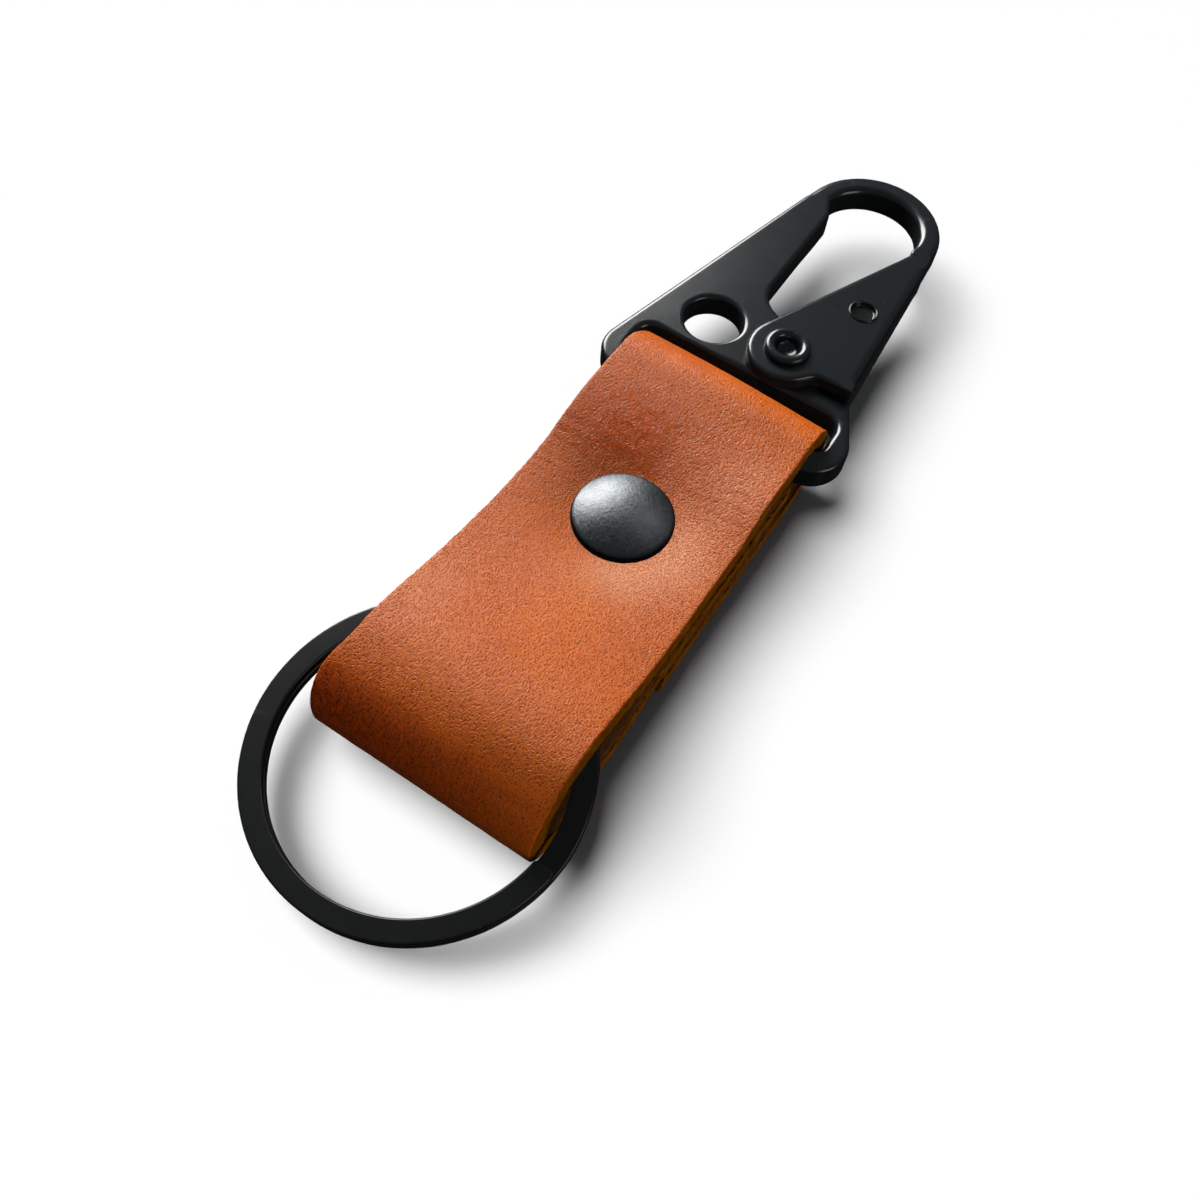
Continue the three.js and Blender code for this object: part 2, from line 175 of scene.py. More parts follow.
def plate(loops, z0, z1, edge, step=0.22, round_=0.3, seg=4, edge_at=None):
    """Closed plate with rounded rims. loops[0] is the outline, the rest are holes. Returns verts, faces in plate mm."""
    rings = []
    for k, P in enumerate(loops):
        P = resample(np.asarray(P, float), step)
        P = smooth_loop(P, round_ / step)
        if (area2(P) > 0) != (k == 0):
            P = P[::-1]
        t = np.roll(P, -1, 0) - np.roll(P, 1, 0)
        t /= np.linalg.norm(t, axis=1)[:, None]
        nrm = np.c_[-t[:, 1], t[:, 0]]            # into the material
        ang = np.arctan2(t[:, 1], t[:, 0])
        kap = np.unwrap(np.r_[ang[-1], ang, ang[0]])
        kap = (kap[2:] - kap[:-2]) / (2 * step)   # positive where the outline is convex
        e = np.full(len(P), edge) if edge_at is None else edge_at(P)
        lim = np.where(kap > 1e-3, 0.72 / np.maximum(kap, 1e-3), 9.0)
        e = np.minimum(e, lim)
        m = e.copy()
        for s in range(1, int(1.0 / step) + 2):
            m = np.minimum(m, np.minimum(np.roll(e, s), np.roll(e, -s)))
        e = smooth_loop(np.c_[m, m], 0.32 / step)[:, 0]
        along = np.roll(P, -1, 0) - P
        for _ in range(40):                       # no folds in the inner rim
            I = P + nrm * (FLAT * e)[:, None]
            run = np.sum((np.roll(I, -1, 0) - I) * along, 1) / np.sum(along * along, 1)
            bad = np.nonzero(run < 0.12)[0]
            if not len(bad):
                break
            f = np.ones(len(P))
            for s in range(-4, 6):
                f[(bad + s) % len(P)] = 0.86
            e = e * smooth_loop(np.c_[f, f], 1.5)[:, 0]
        rings.append((P, nrm, e))
    verts, faces = [], []
    top_idx, bot_idx, top_xy, base = [], [], [], 0
    for P, nrm, e in rings:
        n = len(P)
        flat = P + nrm * (FLAT * e)[:, None]      # keeps the flat faces' shading even up to the rim
        layers = [np.c_[flat, np.full(n, z0)]]
        for k in range(seg + 1):
            f = 0.5 * math.pi * k / seg
            layers.append(np.c_[P + nrm * (e * (1 - math.sin(f)))[:, None], z0 + e * (1 - math.cos(f))])
        for k in range(seg, -1, -1):
            f = 0.5 * math.pi * k / seg
            layers.append(np.c_[P + nrm * (e * (1 - math.sin(f)))[:, None], z1 - e * (1 - math.cos(f))])
        layers.append(np.c_[flat, np.full(n, z1)])
        for L in layers:
            verts.append(L)
        i = np.arange(n)
        j = (i + 1) % n
        for k in range(len(layers) - 1):
            a, b = base + k * n, base + (k + 1) * n
            faces += np.c_[a + i, a + j, b + j, b + i].tolist()
        bot_idx.append(base + i)
        top_idx.append(base + (len(layers) - 1) * n + i)
        top_xy.append(layers[-1][:, :2])
        base += n * len(layers)
    xy = np.vstack(top_xy)
    ti, bi = np.concatenate(top_idx), np.concatenate(bot_idx)
    edges, o = [], 0
    for q in top_xy:
        m = len(q)
        edges += [(o + a, o + (a + 1) % m) for a in range(m)]
        o += m
    # even points inside, so that the flat faces shade evenly
    grid = 1.1
    lo, hi = xy.min(0), xy.max(0)
    gx, gy = np.meshgrid(np.arange(lo[0], hi[0], grid), np.arange(lo[1], hi[1], grid * 0.87))
    gx = gx + (np.arange(gx.shape[0]) % 2)[:, None] * grid * 0.5
    G = np.c_[gx.ravel(), gy.ravel()]
    ok = inside(top_xy[0], G)
    for q in top_xy[1:]:
        ok &= ~inside(q, G)
    G = G[ok]
    G = G[[np.min(np.sum((xy - q) ** 2, 1)) > 0.55 ** 2 for q in G]]
    n_ring = len(xy)
    xy = np.vstack([xy, G])
    ti = np.r_[ti, base + np.arange(len(G))]
    bi = np.r_[bi, base + len(G) + np.arange(len(G))]
    verts.append(np.c_[G, np.full(len(G), z1)])
    verts.append(np.c_[G, np.full(len(G), z0)])
    vs, _, fs, orig, _, _ = delaunay_2d_cdt([Vector(p) for p in xy], edges, [], 0, 1e-7, True)
    back = [q[0] if q else -1 for q in orig]
    fwd = {}
    for o_, q in enumerate(orig):
        for a in q:
            fwd[a] = o_
    wall = {tuple(sorted((fwd[a], fwd[b]))) for a, b in edges}
    tri = [tuple(f) for f in fs if len(f) == 3]
    at = {}
    for k, f in enumerate(tri):
        for a, b in ((f[0], f[1]), (f[1], f[2]), (f[2], f[0])):
            at.setdefault(tuple(sorted((a, b))), []).append(k)
    out = {k[0] for e_, k in at.items() if len(k) == 1 and e_ not in wall}
    pos = np.array([[v.x, v.y] for v in vs])
    big = [(np.abs(np.cross(pos[f[1]] - pos[f[0]], pos[f[2]] - pos[f[0]])), k) for k, f in enumerate(tri)]
    for q in top_xy[1:]:
        for ar, k in sorted(big, reverse=True):
            if inside(q, pos[list(tri[k])].mean(0)[None])[0]:
                out.add(k)
                break
    todo = list(out)
    while todo:
        f = tri[todo.pop()]
        for a, b in ((f[0], f[1]), (f[1], f[2]), (f[2], f[0])):
            e_ = tuple(sorted((a, b)))
            if e_ not in wall:
                for k in at[e_]:
                    if k not in out:
                        out.add(k)
                        todo.append(k)
    for k, f in enumerate(tri):
        if k in out:
            continue
        f = [back[a] for a in f]
        a, b, c = xy[f]
        if (b[0] - a[0]) * (c[1] - a[1]) - (b[1] - a[1]) * (c[0] - a[0]) < 0:
            f = f[::-1]
        faces.append([ti[f[0]], ti[f[1]], ti[f[2]]])
        faces.append([bi[f[2]], bi[f[1]], bi[f[0]]])
    return np.vstack(verts), faces


def lathe(profile, n=72):
    """profile [(r, z)] from axis to axis -> verts, faces"""
    verts, faces, rows_ = [], [], []
    for r, z in profile:
        if r < 1e-6:
            rows_.append([len(verts)])
            verts.append((0, 0, z))
        else:
            a = np.arange(n) * 2 * math.pi / n
            rows_.append(list(range(len(verts), len(verts) + n)))
            verts += np.c_[r * np.cos(a), r * np.sin(a), np.full(n, z)].tolist()
    for A, B in zip(rows_[:-1], rows_[1:]):
        for i in range(n):
            j = (i + 1) % n
            if len(A) == 1 and len(B) == 1:
                continue
            if len(A) == 1:
                faces.append((A[0], B[j], B[i]))
            elif len(B) == 1:
                faces.append((A[i], A[j], B[0]))
            else:
                faces.append((A[i], A[j], B[j], B[i]))
    return np.array(verts, float), faces


def round_profile(pts, r, seg=4):
    """rounds the inner corners of an open profile"""
    pts = [np.array(p, float) for p in pts]
    out = [pts[0]]
    for a, b, c in zip(pts[:-2], pts[1:-1], pts[2:]):
        d0, d1 = a - b, c - b
        l0, l1 = np.linalg.norm(d0), np.linalg.norm(d1)
        k = min(r, 0.45 * l0, 0.45 * l1)
        p, q = b + d0 / l0 * k, b + d1 / l1 * k
        for t in np.linspace(0, 1, seg + 1):
            out.append((1 - t) ** 2 * p + 2 * t * (1 - t) * b + t * t * q)
    out.append(pts[-1])
    return [tuple(p) for p in out]


def apply_modifiers(ob):
    dg = bpy.context.evaluated_depsgraph_get()
    me = bpy.data.meshes.new_from_object(ob.evaluated_get(dg))
    old = ob.data
    ob.modifiers.clear()
    ob.data = me
    me.name = ob.name
    bpy.data.meshes.remove(old)


def cut(ob, cutters, op="DIFFERENCE"):
    for c in cutters:
        m = ob.modifiers.new("cut", "BOOLEAN")
        m.operation, m.solver, m.object = op, "EXACT", c
        bpy.context.view_layer.update()
        apply_modifiers(ob)
    for c in cutters:
        me = c.data
        bpy.data.objects.remove(c)
        bpy.data.meshes.remove(me)


def finish_metal(ob, angle=38):
    ob.data.polygons.foreach_set("use_smooth", np.full(len(ob.data.polygons), True))
    ob.data.set_sharp_from_angle(angle=angle * RAD)
    w = ob.modifiers.new("even normals", "WEIGHTED_NORMAL")
    w.mode, w.weight, w.keep_sharp = "FACE_AREA", 60, True


# ------------------------------------------------------------------ materials
class Graph:
    def __init__(self, name):
        self.m = bpy.data.materials.new(name)
        self.m.use_nodes = True
        self.t = self.m.node_tree
        self.t.nodes.clear()
        self.out = self.t.nodes.new("ShaderNodeOutputMaterial")
        self.b = self.t.nodes.new("ShaderNodeBsdfPrincipled")
        self.t.links.new(self.b.outputs[0], self.out.inputs[0])

    def put(self, sock, v):
        if hasattr(v, "is_output"):
            self.t.links.new(v, sock)
        else:
            sock.default_value = v

    def node(self, kind, ins=None, **props):
        n = self.t.nodes.new(kind)
        for k, v in props.items():
            setattr(n, k, v)
        for k, v in (ins or {}).items():
            self.put(n.inputs[k], v)
        return n

    def math(self, op, a, b=None, c=None, clamp=False):
        n = self.node("ShaderNodeMath", operation=op, use_clamp=clamp)
        for i, v in enumerate((a, b, c)):
            if v is not None:
                self.put(n.inputs[i], v)
        return n.outputs[0]

    def vmath(self, op, a, b=None, scale=None):
        n = self.node("ShaderNodeVectorMath", operation=op)
        self.put(n.inputs[0], a)
        if b is not None:
            self.put(n.inputs[1], b)
        if scale is not None:
            self.put(n.inputs["Scale"], scale)
        return n.outputs[0]

    def noise(self, vec, scale, detail=2.0, rough=0.5, dist=0.0):
        return self.node("ShaderNodeTexNoise", {"Vector": vec, "Scale": scale, "Detail": detail, "Roughness": rough, "Distortion": dist})

    def ramp(self, fac, stops, interp="LINEAR"):
        n = self.node("ShaderNodeValToRGB", {"Fac": fac})
        r = n.color_ramp
        r.interpolation = interp
        while len(r.elements) < len(stops):
            r.elements.new(0.5)
        for e, (p, c) in zip(r.elements, stops):
            e.position = p
            e.color = c if len(c) == 4 else (*c, 1.0)
        return n.outputs[0]

    def remap(self, v, a0, a1, b0=0.0, b1=1.0, smooth=False):
        n = self.node("ShaderNodeMapRange", {"Value": v, "From Min": a0, "From Max": a1, "To Min": b0, "To Max": b1})
        n.interpolation_type = "SMOOTHSTEP" if smooth else "LINEAR"
        return n.outputs[0]

    def mix(self, f, a, b, mode="MIX"):
        n = self.node("ShaderNodeMix", data_type="RGBA", blend_type=mode)
        self.put(n.inputs[0], f)
        self.put(n.inputs[6], a if hasattr(a, "is_output") else (*a, 1.0))
        self.put(n.inputs[7], b if hasattr(b, "is_output") else (*b, 1.0))
        return n.outputs[2]

    def bump(self, height, dist, strength=1.0, normal=None):
        n = self.node("ShaderNodeBump", {"Height": height, "Distance": dist, "Strength": strength})
        if normal is not None:
            self.put(n.inputs["Normal"], normal)
        return n.outputs[0]

    def set(self, **kw):
        for k, v in kw.items():
            self.put(self.b.inputs[k.replace("_", " ")], v)


def leather_grain():
    """waxed full-grain side: pores in fine clusters, faint creasing between them, uneven dye, and painted light, shade
    and sheen read from the strap's attributes
    """
    g = Graph("leather_grain")
    uv = g.node("ShaderNodeUVMap", uv_map="strip").outputs[0]          # 1 unit = 100 mm along and across the strip
    obj = g.vmath("SCALE", g.node("ShaderNodeTexCoord").outputs["Object"], scale=1000.0)
    mm = g.vmath("SCALE", uv, scale=100.0)
    wob = g.noise(mm, 0.75, 3.0)
    v = g.vmath("ADD", mm, g.vmath("SCALE", g.vmath("SUBTRACT", wob.outputs["Color"], (0.5, 0.5, 0.5)), scale=0.8))

    def pores(vec, scale, lo, hi):
        n = g.node("ShaderNodeTexVoronoi", {"Vector": vec, "Scale": scale, "Randomness": 1.0}, voronoi_dimensions="2D", feature="F1")
        rnd = g.node("ShaderNodeSeparateColor", {"Color": n.outputs["Color"]}).outputs[0]
        size = g.remap(rnd, 0.0, 1.0, lo, hi)
        m = g.node("ShaderNodeMapRange", {"Value": n.outputs["Distance"], "From Min": g.math("MULTIPLY", size, 0.15), "From Max": size, "To Min": 1.0, "To Max": 0.0})
        m.interpolation_type = "SMOOTHSTEP"
        return m.outputs[0]

    p1 = pores(g.vmath("MULTIPLY", v, (0.82, 1.18, 1.0)), 3.0, 0.14, 0.56)
    p2 = pores(g.vmath("MULTIPLY", v, (0.95, 1.15, 1.0)), 4.6, 0.05, 0.52)
    net = g.node("ShaderNodeTexVoronoi", {"Vector": g.vmath("MULTIPLY", v, (0.80, 1.20, 1.0)), "Scale": 2.7, "Randomness": 1.0}, voronoi_dimensions="2D", feature="DISTANCE_TO_EDGE")
    fold = g.remap(net.outputs["Distance"], 0.0, 0.17, 1.0, 0.0, True)
    p0 = pores(g.vmath("MULTIPLY", v, (0.90, 1.15, 1.0)), 1.8, 0.10, 0.62)
    coarse = g.node("ShaderNodeAttribute", attribute_name="coarse").outputs["Fac"]
    p0 = g.math("MULTIPLY", p0, coarse)
    fine = g.noise(mm, 8.0, 3.0, 0.6)
    mid = g.noise(g.vmath("MULTIPLY", v, (0.8, 1.3, 1.0)), 1.9, 3.0, 0.6)
    big = g.noise(obj, 0.075, 3.0, 0.5)
    soft = g.noise(obj, 0.33, 4.0, 0.62)
    fold = g.math("MULTIPLY", fold, g.remap(mid.outputs["Fac"], 0.36, 0.60, 0.15, 1.0))
    h = g.math("SUBTRACT", g.math("MULTIPLY", mid.outputs["Fac"], 0.48), g.math("MULTIPLY", p1, 0.50))
    h = g.math("SUBTRACT", h, g.math("MULTIPLY", p2, 0.24))
    h = g.math("SUBTRACT", h, g.math("MULTIPLY", fold, 0.40))
    h = g.math("ADD", h, g.math("MULTIPLY", fine.outputs["Fac"], 0.26))
    h = g.math("SUBTRACT", h, g.math("MULTIPLY", p0, 0.52))
    h = g.math("ADD", h, g.math("MULTIPLY", g.math("MULTIPLY", mid.outputs["Fac"], coarse), 0.55))
    tone = g.math("ADD", g.math("MULTIPLY", big.outputs["Fac"], 0.5), g.math("MULTIPLY", soft.outputs["Fac"], 0.5))
    col = g.ramp(tone, [(0.30, (0.592, 0.108, 0.0050)), (0.50, (0.680, 0.133, 0.0072)), (0.70, (0.745, 0.160, 0.0102))])
    pit = g.math("ADD", g.math("MULTIPLY", p1, 0.56), g.math("MULTIPLY", p2, 0.36), clamp=True)
    pit = g.math("ADD", pit, g.math("MULTIPLY", fold, 0.28), clamp=True)
    pit = g.math("ADD", pit, g.math("MULTIPLY", p0, 0.20), clamp=True)
    col = g.mix(pit, col, (0.25, 0.031, 0.0015))
    spk = g.remap(fine.outputs["Fac"], 0.50, 0.72, 0.0, 1.0)
    col = g.mix(g.math("MULTIPLY", spk, 0.16), col, (0.85, 0.26, 0.030))
    painted_light_and_shade = g.node("ShaderNodeAttribute", attribute_name="painted_light_and_shade").outputs["Fac"]   # painted light and shade: colour lightened or darkened where the bends, slopes and the rivet's hollow take more or less light
    col = g.vmath("SCALE", col, scale=painted_light_and_shade)
    # painted shade: deeper, more saturated red-orange on the ring bend's front and in the hollow before the far bend,
    # where they lie in shade
    deep = g.node("ShaderNodeAttribute", attribute_name="deep").outputs["Fac"]
    pebble = g.remap(g.math("SUBTRACT", mid.outputs["Fac"], g.math("MULTIPLY", g.math("ADD", fold, p1), 0.16)), 0.22, 0.62, 0.25, 1.75)
    col = g.mix(deep, col, g.vmath("SCALE", (0.62, 0.068, 0.0004), scale=pebble))
    # painted sheen: pale salmon colour where a soft glossy highlight would lie
    col = g.mix(g.node("ShaderNodeAttribute", attribute_name="painted_sheen").outputs["Fac"], col, (0.86, 0.44, 0.24))
    g.set(Base_Color=col)
    r = g.math("ADD", g.math("MULTIPLY", soft.outputs["Fac"], 0.6), g.math("MULTIPLY", fine.outputs["Fac"], 0.4))
    rough = g.math("ADD", g.remap(r, 0.3, 0.7, 0.37, 0.48), g.math("MULTIPLY", p1, 0.14))
    burn = g.node("ShaderNodeAttribute", attribute_name="burn").outputs["Fac"]
    g.set(Roughness=g.math("MULTIPLY", rough, g.remap(burn, 0.0, 1.0, 1.0, 0.62)))
    g.b.inputs["Specular IOR Level"].default_value = 0.36
    g.set(Normal=g.bump(h, 0.000094, g.remap(burn, 0.0, 1.0, 0.92, 0.42)))
    return g.m


def leather_cut():
    """raw cut edge: packed fibres, dyed skin on the grain side"""
    g = Graph("leather_cut_edge")
    uv = g.node("ShaderNodeUVMap", uv_map="strip").outputs[0]
    obj = g.vmath("SCALE", g.node("ShaderNodeTexCoord").outputs["Object"], scale=1000.0)
    deep = g.node("ShaderNodeAttribute", attribute_name="depth").outputs["Fac"]
    st = g.vmath("MULTIPLY", obj, (1.0, 1.0, 2.6))
    fib = g.noise(st, 3.2, 4.0, 0.65, 0.6)
    fine = g.noise(obj, 9.0, 3.0, 0.6)
    blot = g.noise(obj, 0.55, 2.0, 0.5)
    tone = g.math("ADD", g.math("MULTIPLY", fib.outputs["Fac"], 0.65), g.math("MULTIPLY", blot.outputs["Fac"], 0.35))
    col = g.ramp(tone, [(0.32, (0.16, 0.036, 0.0006)), (0.50, (0.52, 0.150, 0.0030)), (0.70, (0.80, 0.30, 0.011))])
    skin = g.remap(deep, 0.0, 0.11, 1.0, 0.0, True)
    col = g.mix(g.math("MULTIPLY", skin, 0.75), col, (0.33, 0.068, 0.006))
    # painted shade: the wall goes almost black in broken patches towards the flesh side, standing for the shade in the
    # gap to the next layer
    gap = g.noise(g.vmath("MULTIPLY", obj, (0.34, 0.34, 0.9)), 1.6, 3.0, 0.6)
    flesh = g.math("MULTIPLY", g.remap(deep, 0.70, 0.94, 0.0, 1.0, True), g.remap(gap.outputs["Fac"], 0.42, 0.60, 0.25, 0.97))
    col = g.mix(flesh, col, (0.020, 0.0045, 0.0006))
    g.set(Base_Color=col, Roughness=g.remap(fine.outputs["Fac"], 0.3, 0.7, 0.78, 0.98))
    g.b.inputs["Specular IOR Level"].default_value = 0.05
    h = g.math("ADD", g.math("MULTIPLY", fib.outputs["Fac"], 0.8), g.math("MULTIPLY", fine.outputs["Fac"], 0.4))
    g.set(Normal=g.bump(h, 0.00028, 1.0))
    return g.m


def leather_flesh():
    """suede back of the leather"""
    g = Graph("leather_flesh_side")
    obj = g.vmath("SCALE", g.node("ShaderNodeTexCoord").outputs["Object"], scale=1000.0)
    nap = g.noise(obj, 4.5, 4.0, 0.65, 0.4)
    blot = g.noise(obj, 0.35, 3.0, 0.55)
    tone = g.math("ADD", g.math("MULTIPLY", nap.outputs["Fac"], 0.5), g.math("MULTIPLY", blot.outputs["Fac"], 0.5))
    g.set(Base_Color=g.ramp(tone, [(0.3, (0.17, 0.056, 0.012)), (0.52, (0.30, 0.115, 0.030)), (0.72, (0.41, 0.18, 0.056))]))
    g.set(Roughness=g.remap(nap.outputs["Fac"], 0.3, 0.7, 0.82, 0.98))
    g.b.inputs["Specular IOR Level"].default_value = 0.2
    g.b.inputs["Sheen Weight"].default_value = 0.12
    g.b.inputs["Sheen Roughness"].default_value = 0.5
    g.set(Normal=g.bump(nap.outputs["Fac"], 0.0002, 0.9))
    return g.m


def coated_metal(name, base, rough, tint=(0.02, 0.022, 0.025), speck=0.5, grain=1.0, spec=0.7):
    """dark coating over metal: faint orange peel, uneven gloss, fine dust, thin rubbed rims"""
    g = Graph(name)
    obj = g.vmath("SCALE", g.node("ShaderNodeTexCoord").outputs["Object"], scale=1000.0)
    peel = g.noise(obj, 5.5, 3.0, 0.55)
    cloud = g.noise(obj, 0.42, 4.0, 0.6)
    tiny = g.noise(obj, 16.0, 2.0, 0.5)
    dust = g.node("ShaderNodeTexVoronoi", {"Vector": obj, "Scale": 0.55, "Randomness": 1.0}, feature="F1")
    dot = g.remap(dust.outputs["Distance"], 0.035, 0.075, 1.0, 0.0, True)
    pick = g.math("GREATER_THAN", g.node("ShaderNodeSeparateColor", {"Color": dust.outputs["Color"]}).outputs[0], 0.72)
    dot = g.math("MULTIPLY", g.math("MULTIPLY", dot, pick), speck)
    point = g.node("ShaderNodeNewGeometry").outputs["Pointiness"]
    worn = g.math("MULTIPLY", g.remap(point, 0.53, 0.60, 0.0, 1.0), g.remap(cloud.outputs["Fac"], 0.35, 0.7, 0.3, 1.0))
    col = g.mix(cloud.outputs["Fac"], base, tint)
    col = g.mix(g.math("MULTIPLY", worn, 0.35), col, (0.075, 0.077, 0.080))
    col = g.mix(dot, col, (0.14, 0.14, 0.135))
    g.set(Base_Color=col)
    r = g.math("ADD", g.math("MULTIPLY", cloud.outputs["Fac"], 0.65), g.math("MULTIPLY", tiny.outputs["Fac"], 0.35))
    g.set(Roughness=g.remap(r, 0.3, 0.7, rough - 0.012, rough + 0.016))
    g.b.inputs["Metallic"].default_value = 0.0
    g.b.inputs["IOR"].default_value = 1.5
    g.b.inputs["Specular IOR Level"].default_value = spec
    h = g.math("ADD", g.math("MULTIPLY", peel.outputs["Fac"], 0.7), g.math("MULTIPLY", tiny.outputs["Fac"], 0.3))
    g.set(Normal=g.bump(h, 0.000006 * grain, 0.8))
    return g.m


def gunmetal():
    """plated and tumbled: soft mottling, fine scuffs"""
    g = Graph("gunmetal_plating")
    obj = g.vmath("SCALE", g.node("ShaderNodeTexCoord").outputs["Object"], scale=1000.0)
    cloud = g.noise(obj, 0.42, 5.0, 0.62, 0.4)
    mott = g.noise(obj, 2.6, 5.0, 0.66, 0.3)
    fine = g.noise(obj, 9.0, 3.0, 0.6)
    tone = g.math("ADD", g.math("MULTIPLY", cloud.outputs["Fac"], 0.5), g.math("MULTIPLY", mott.outputs["Fac"], 0.5))
    g.set(Base_Color=g.ramp(tone, [(0.36, (0.074, 0.078, 0.082)), (0.50, (0.096, 0.101, 0.105)), (0.64, (0.120, 0.126, 0.128))]))
    g.b.inputs["Metallic"].default_value = 1.0
    r = g.math("ADD", g.math("MULTIPLY", mott.outputs["Fac"], 0.55), g.math("MULTIPLY", fine.outputs["Fac"], 0.45))
    g.set(Roughness=g.remap(r, 0.34, 0.66, 0.27, 0.43))
    h = g.math("ADD", g.math("MULTIPLY", mott.outputs["Fac"], 0.75), g.math("MULTIPLY", fine.outputs["Fac"], 0.25))
    g.set(Normal=g.bump(h, 0.00005, 0.85))
    return g.m


def wire_steel():
    g = Graph("spring_wire")
    obj = g.vmath("SCALE", g.node("ShaderNodeTexCoord").outputs["Object"], scale=1000.0)
    n = g.noise(obj, 3.0, 3.0, 0.6)
    g.set(Base_Color=g.ramp(n.outputs["Fac"], [(0.3, (0.33, 0.33, 0.335)), (0.7, (0.55, 0.55, 0.56))]))
    g.b.inputs["Metallic"].default_value = 1.0
    g.set(Roughness=g.remap(n.outputs["Fac"], 0.3, 0.7, 0.25, 0.4))
    g.set(Normal=g.bump(n.outputs["Fac"], 0.00001, 0.6))
    return g.m


M_GRAIN, M_CUT, M_FLESH = leather_grain(), leather_cut(), leather_flesh()
M_BLACK = coated_metal("satin_black", (0.0095, 0.0135, 0.0162), 0.212, (0.0112, 0.0152, 0.0180), speck=0.35, spec=0.70)
# the pin's coating is darker than the lever's: painted shade for the recess it sits in
M_PIN = coated_metal("pin_black_painted_recess_shade", (0.0030, 0.0036, 0.0042), 0.24, (0.0042, 0.0050, 0.0056), speck=0.2, spec=0.62)
M_RING = coated_metal("matte_black_ring", (0.0052, 0.0058, 0.0062), 0.31, (0.0095, 0.0105, 0.0112), speck=0.5, grain=1.5, spec=0.5)
M_GUN, M_WIRE = gunmetal(), wire_steel()

# ------------------------------------------------------------------ leather strap
PATH = [
    (-8.7, 6.15), (-12, 6.1), (-16, 5.9), (-20, 5.65), (-24, 5.5), (-28, 5.4), (-32, 5.3), (-34, 5.2), (-36, 5.0),
    (-39, 4.15), (-42, 3.45), (-46, 2.85), (-49, 2.4), (-52, 1.95), (-54.3, 1.7),
    (-56.4, 1.85), (-58.2, 2.75), (-59.3, 4.3), (-59.6, 6.2), (-59.25, 8.0), (-58.3, 9.6), (-56.85, 10.9), (-55.1, 11.65),
    (-53.2, 11.95), (-51.5, 11.9), (-49.5, 11.6), (-46.8, 10.95), (-44.1, 10.2), (-41.35, 9.57), (-38.65, 9.12), (-35.9, 8.88), (-33, 8.72),
    (-30, 8.65), (-26.3, 8.64), (-23, 8.8), (-20.7, 9.15), (-18.3, 9.8), (-16.3, 10.35), (-14, 10.75), (-11, 10.97), (-8, 10.97),
]
PATH += [(-5.2 + 4.75 * math.cos((90 - 18 * k) * RAD), 6.2 + 4.75 * math.sin((90 - 18 * k) * RAD)) for k in range(11)]
PATH += [(-9, 1.45), (-14, 1.45), (-20, 1.45), (-26.3, 1.45), (-32, 1.45), (-36.5, 1.45)]


def strip_line(ds=0.36, sigma=0.9):
    """centreline of the folded strip, evenly spaced: points, tangents, outer normals, length along"""
    P = np.array(PATH)
    P = np.vstack([2 * P[0] - P[1], P, 2 * P[-1] - P[-2]])
    t = np.r_[0, np.cumsum(np.sqrt(np.linalg.norm(np.diff(P, axis=0), axis=1)))]
    out = []
    for i in range(1, len(P) - 2):
        u = np.linspace(t[i], t[i + 1], 30, endpoint=False)[:, None]
        a = [(t[i + k + 1] - u) / (t[i + k + 1] - t[i + k]) * P[i + k] + (u - t[i + k]) / (t[i + k + 1] - t[i + k]) * P[i + k + 1] for k in (-1, 0, 1)]
        b = [(t[i + 1 + k] - u) / (t[i + 1 + k] - t[i - 1 + k]) * a[k] + (u - t[i - 1 + k]) / (t[i + 1 + k] - t[i - 1 + k]) * a[k + 1] for k in (0, 1)]
        out.append((t[i + 1] - u) / (t[i + 1] - t[i]) * b[0] + (u - t[i]) / (t[i + 1] - t[i]) * b[1])
    C = np.vstack(out + [P[-2][None]])
    d = np.r_[0, np.cumsum(np.linalg.norm(np.diff(C, axis=0), axis=1))]
    n = int(d[-1] / ds)
    s = np.linspace(0, d[-1], n + 1)
    C = np.c_[np.interp(s, d, C[:, 0]), np.interp(s, d, C[:, 1])]
    k = int(4 * sigma / ds)
    g = np.exp(-0.5 * (np.arange(-k, k + 1) * ds / sigma) ** 2)
    g /= g.sum()
    E = np.vstack([2 * C[0] - C[k:0:-1], C, 2 * C[-1] - C[-2:-k - 2:-1]])
    C = np.c_[np.convolve(E[:, 0], g, "valid"), np.convolve(E[:, 1], g, "valid")]
    C[:, 1] = np.maximum(C[:, 1], 1.45)
    T = np.gradient(C, axis=0)
    T /= np.linalg.norm(T, axis=1)[:, None]
    return C, T, np.c_[-T[:, 1], T[:, 0]], s


def sstep(a, b, x):
    t = np.clip((x - a) / (b - a), 0, 1)
    return t * t * (3 - 2 * t)


# how far the two long edges stand off the middle's height, along the strap
SIDE_X = [-60, -57, -53, -50, -46, -43, -40, -36, -32, -28, -24, -21, -19, -17, -14, -11, -8, -5]
SIDE_R = [0.0, 0.1, 0.2, 0.22, 0.1, -0.1, -0.12, 0.1, 0.2, 0.4, 0.4, 0.55, 0.7, 0.6, 0.25, -0.35, -0.75, -0.9]
SIDE_L = [0.0, -0.1, -0.22, -0.18, -0.08, 0.05, 0.08, 0.0, -0.08, -0.2, -0.22, -0.2, -0.28, -0.25, -0.1, 0.1, 0.2, 0.15]


DIP_X = [-26, -24, -22, -19, -16, -13, -10, -7, -5]
DIP = [0.0, 0.15, 0.42, 0.92, 1.18, 1.10, 0.68, 0.22, 0.0]
# painted sheen spots, pale where a soft glossy highlight would lie: middle, reach, amount
SHEEN_SPOTS = [(-27.0, -7.5, 5.0, 3.6, 0.34), (-32.2, -3.2, 3.2, 3.8, 0.36), (-36.0, 1.0, 5.0, 5.0, 0.06), (-46.0, 10.5, 5.0, 3.0, 0.15), (-16.0, -9.2, 4.6, 2.8, 0.15)]


def nz(x, y, z, o=0.0):
    return noise.noise(Vector((x + o, y - 1.7 * o, z + 0.6 * o)))


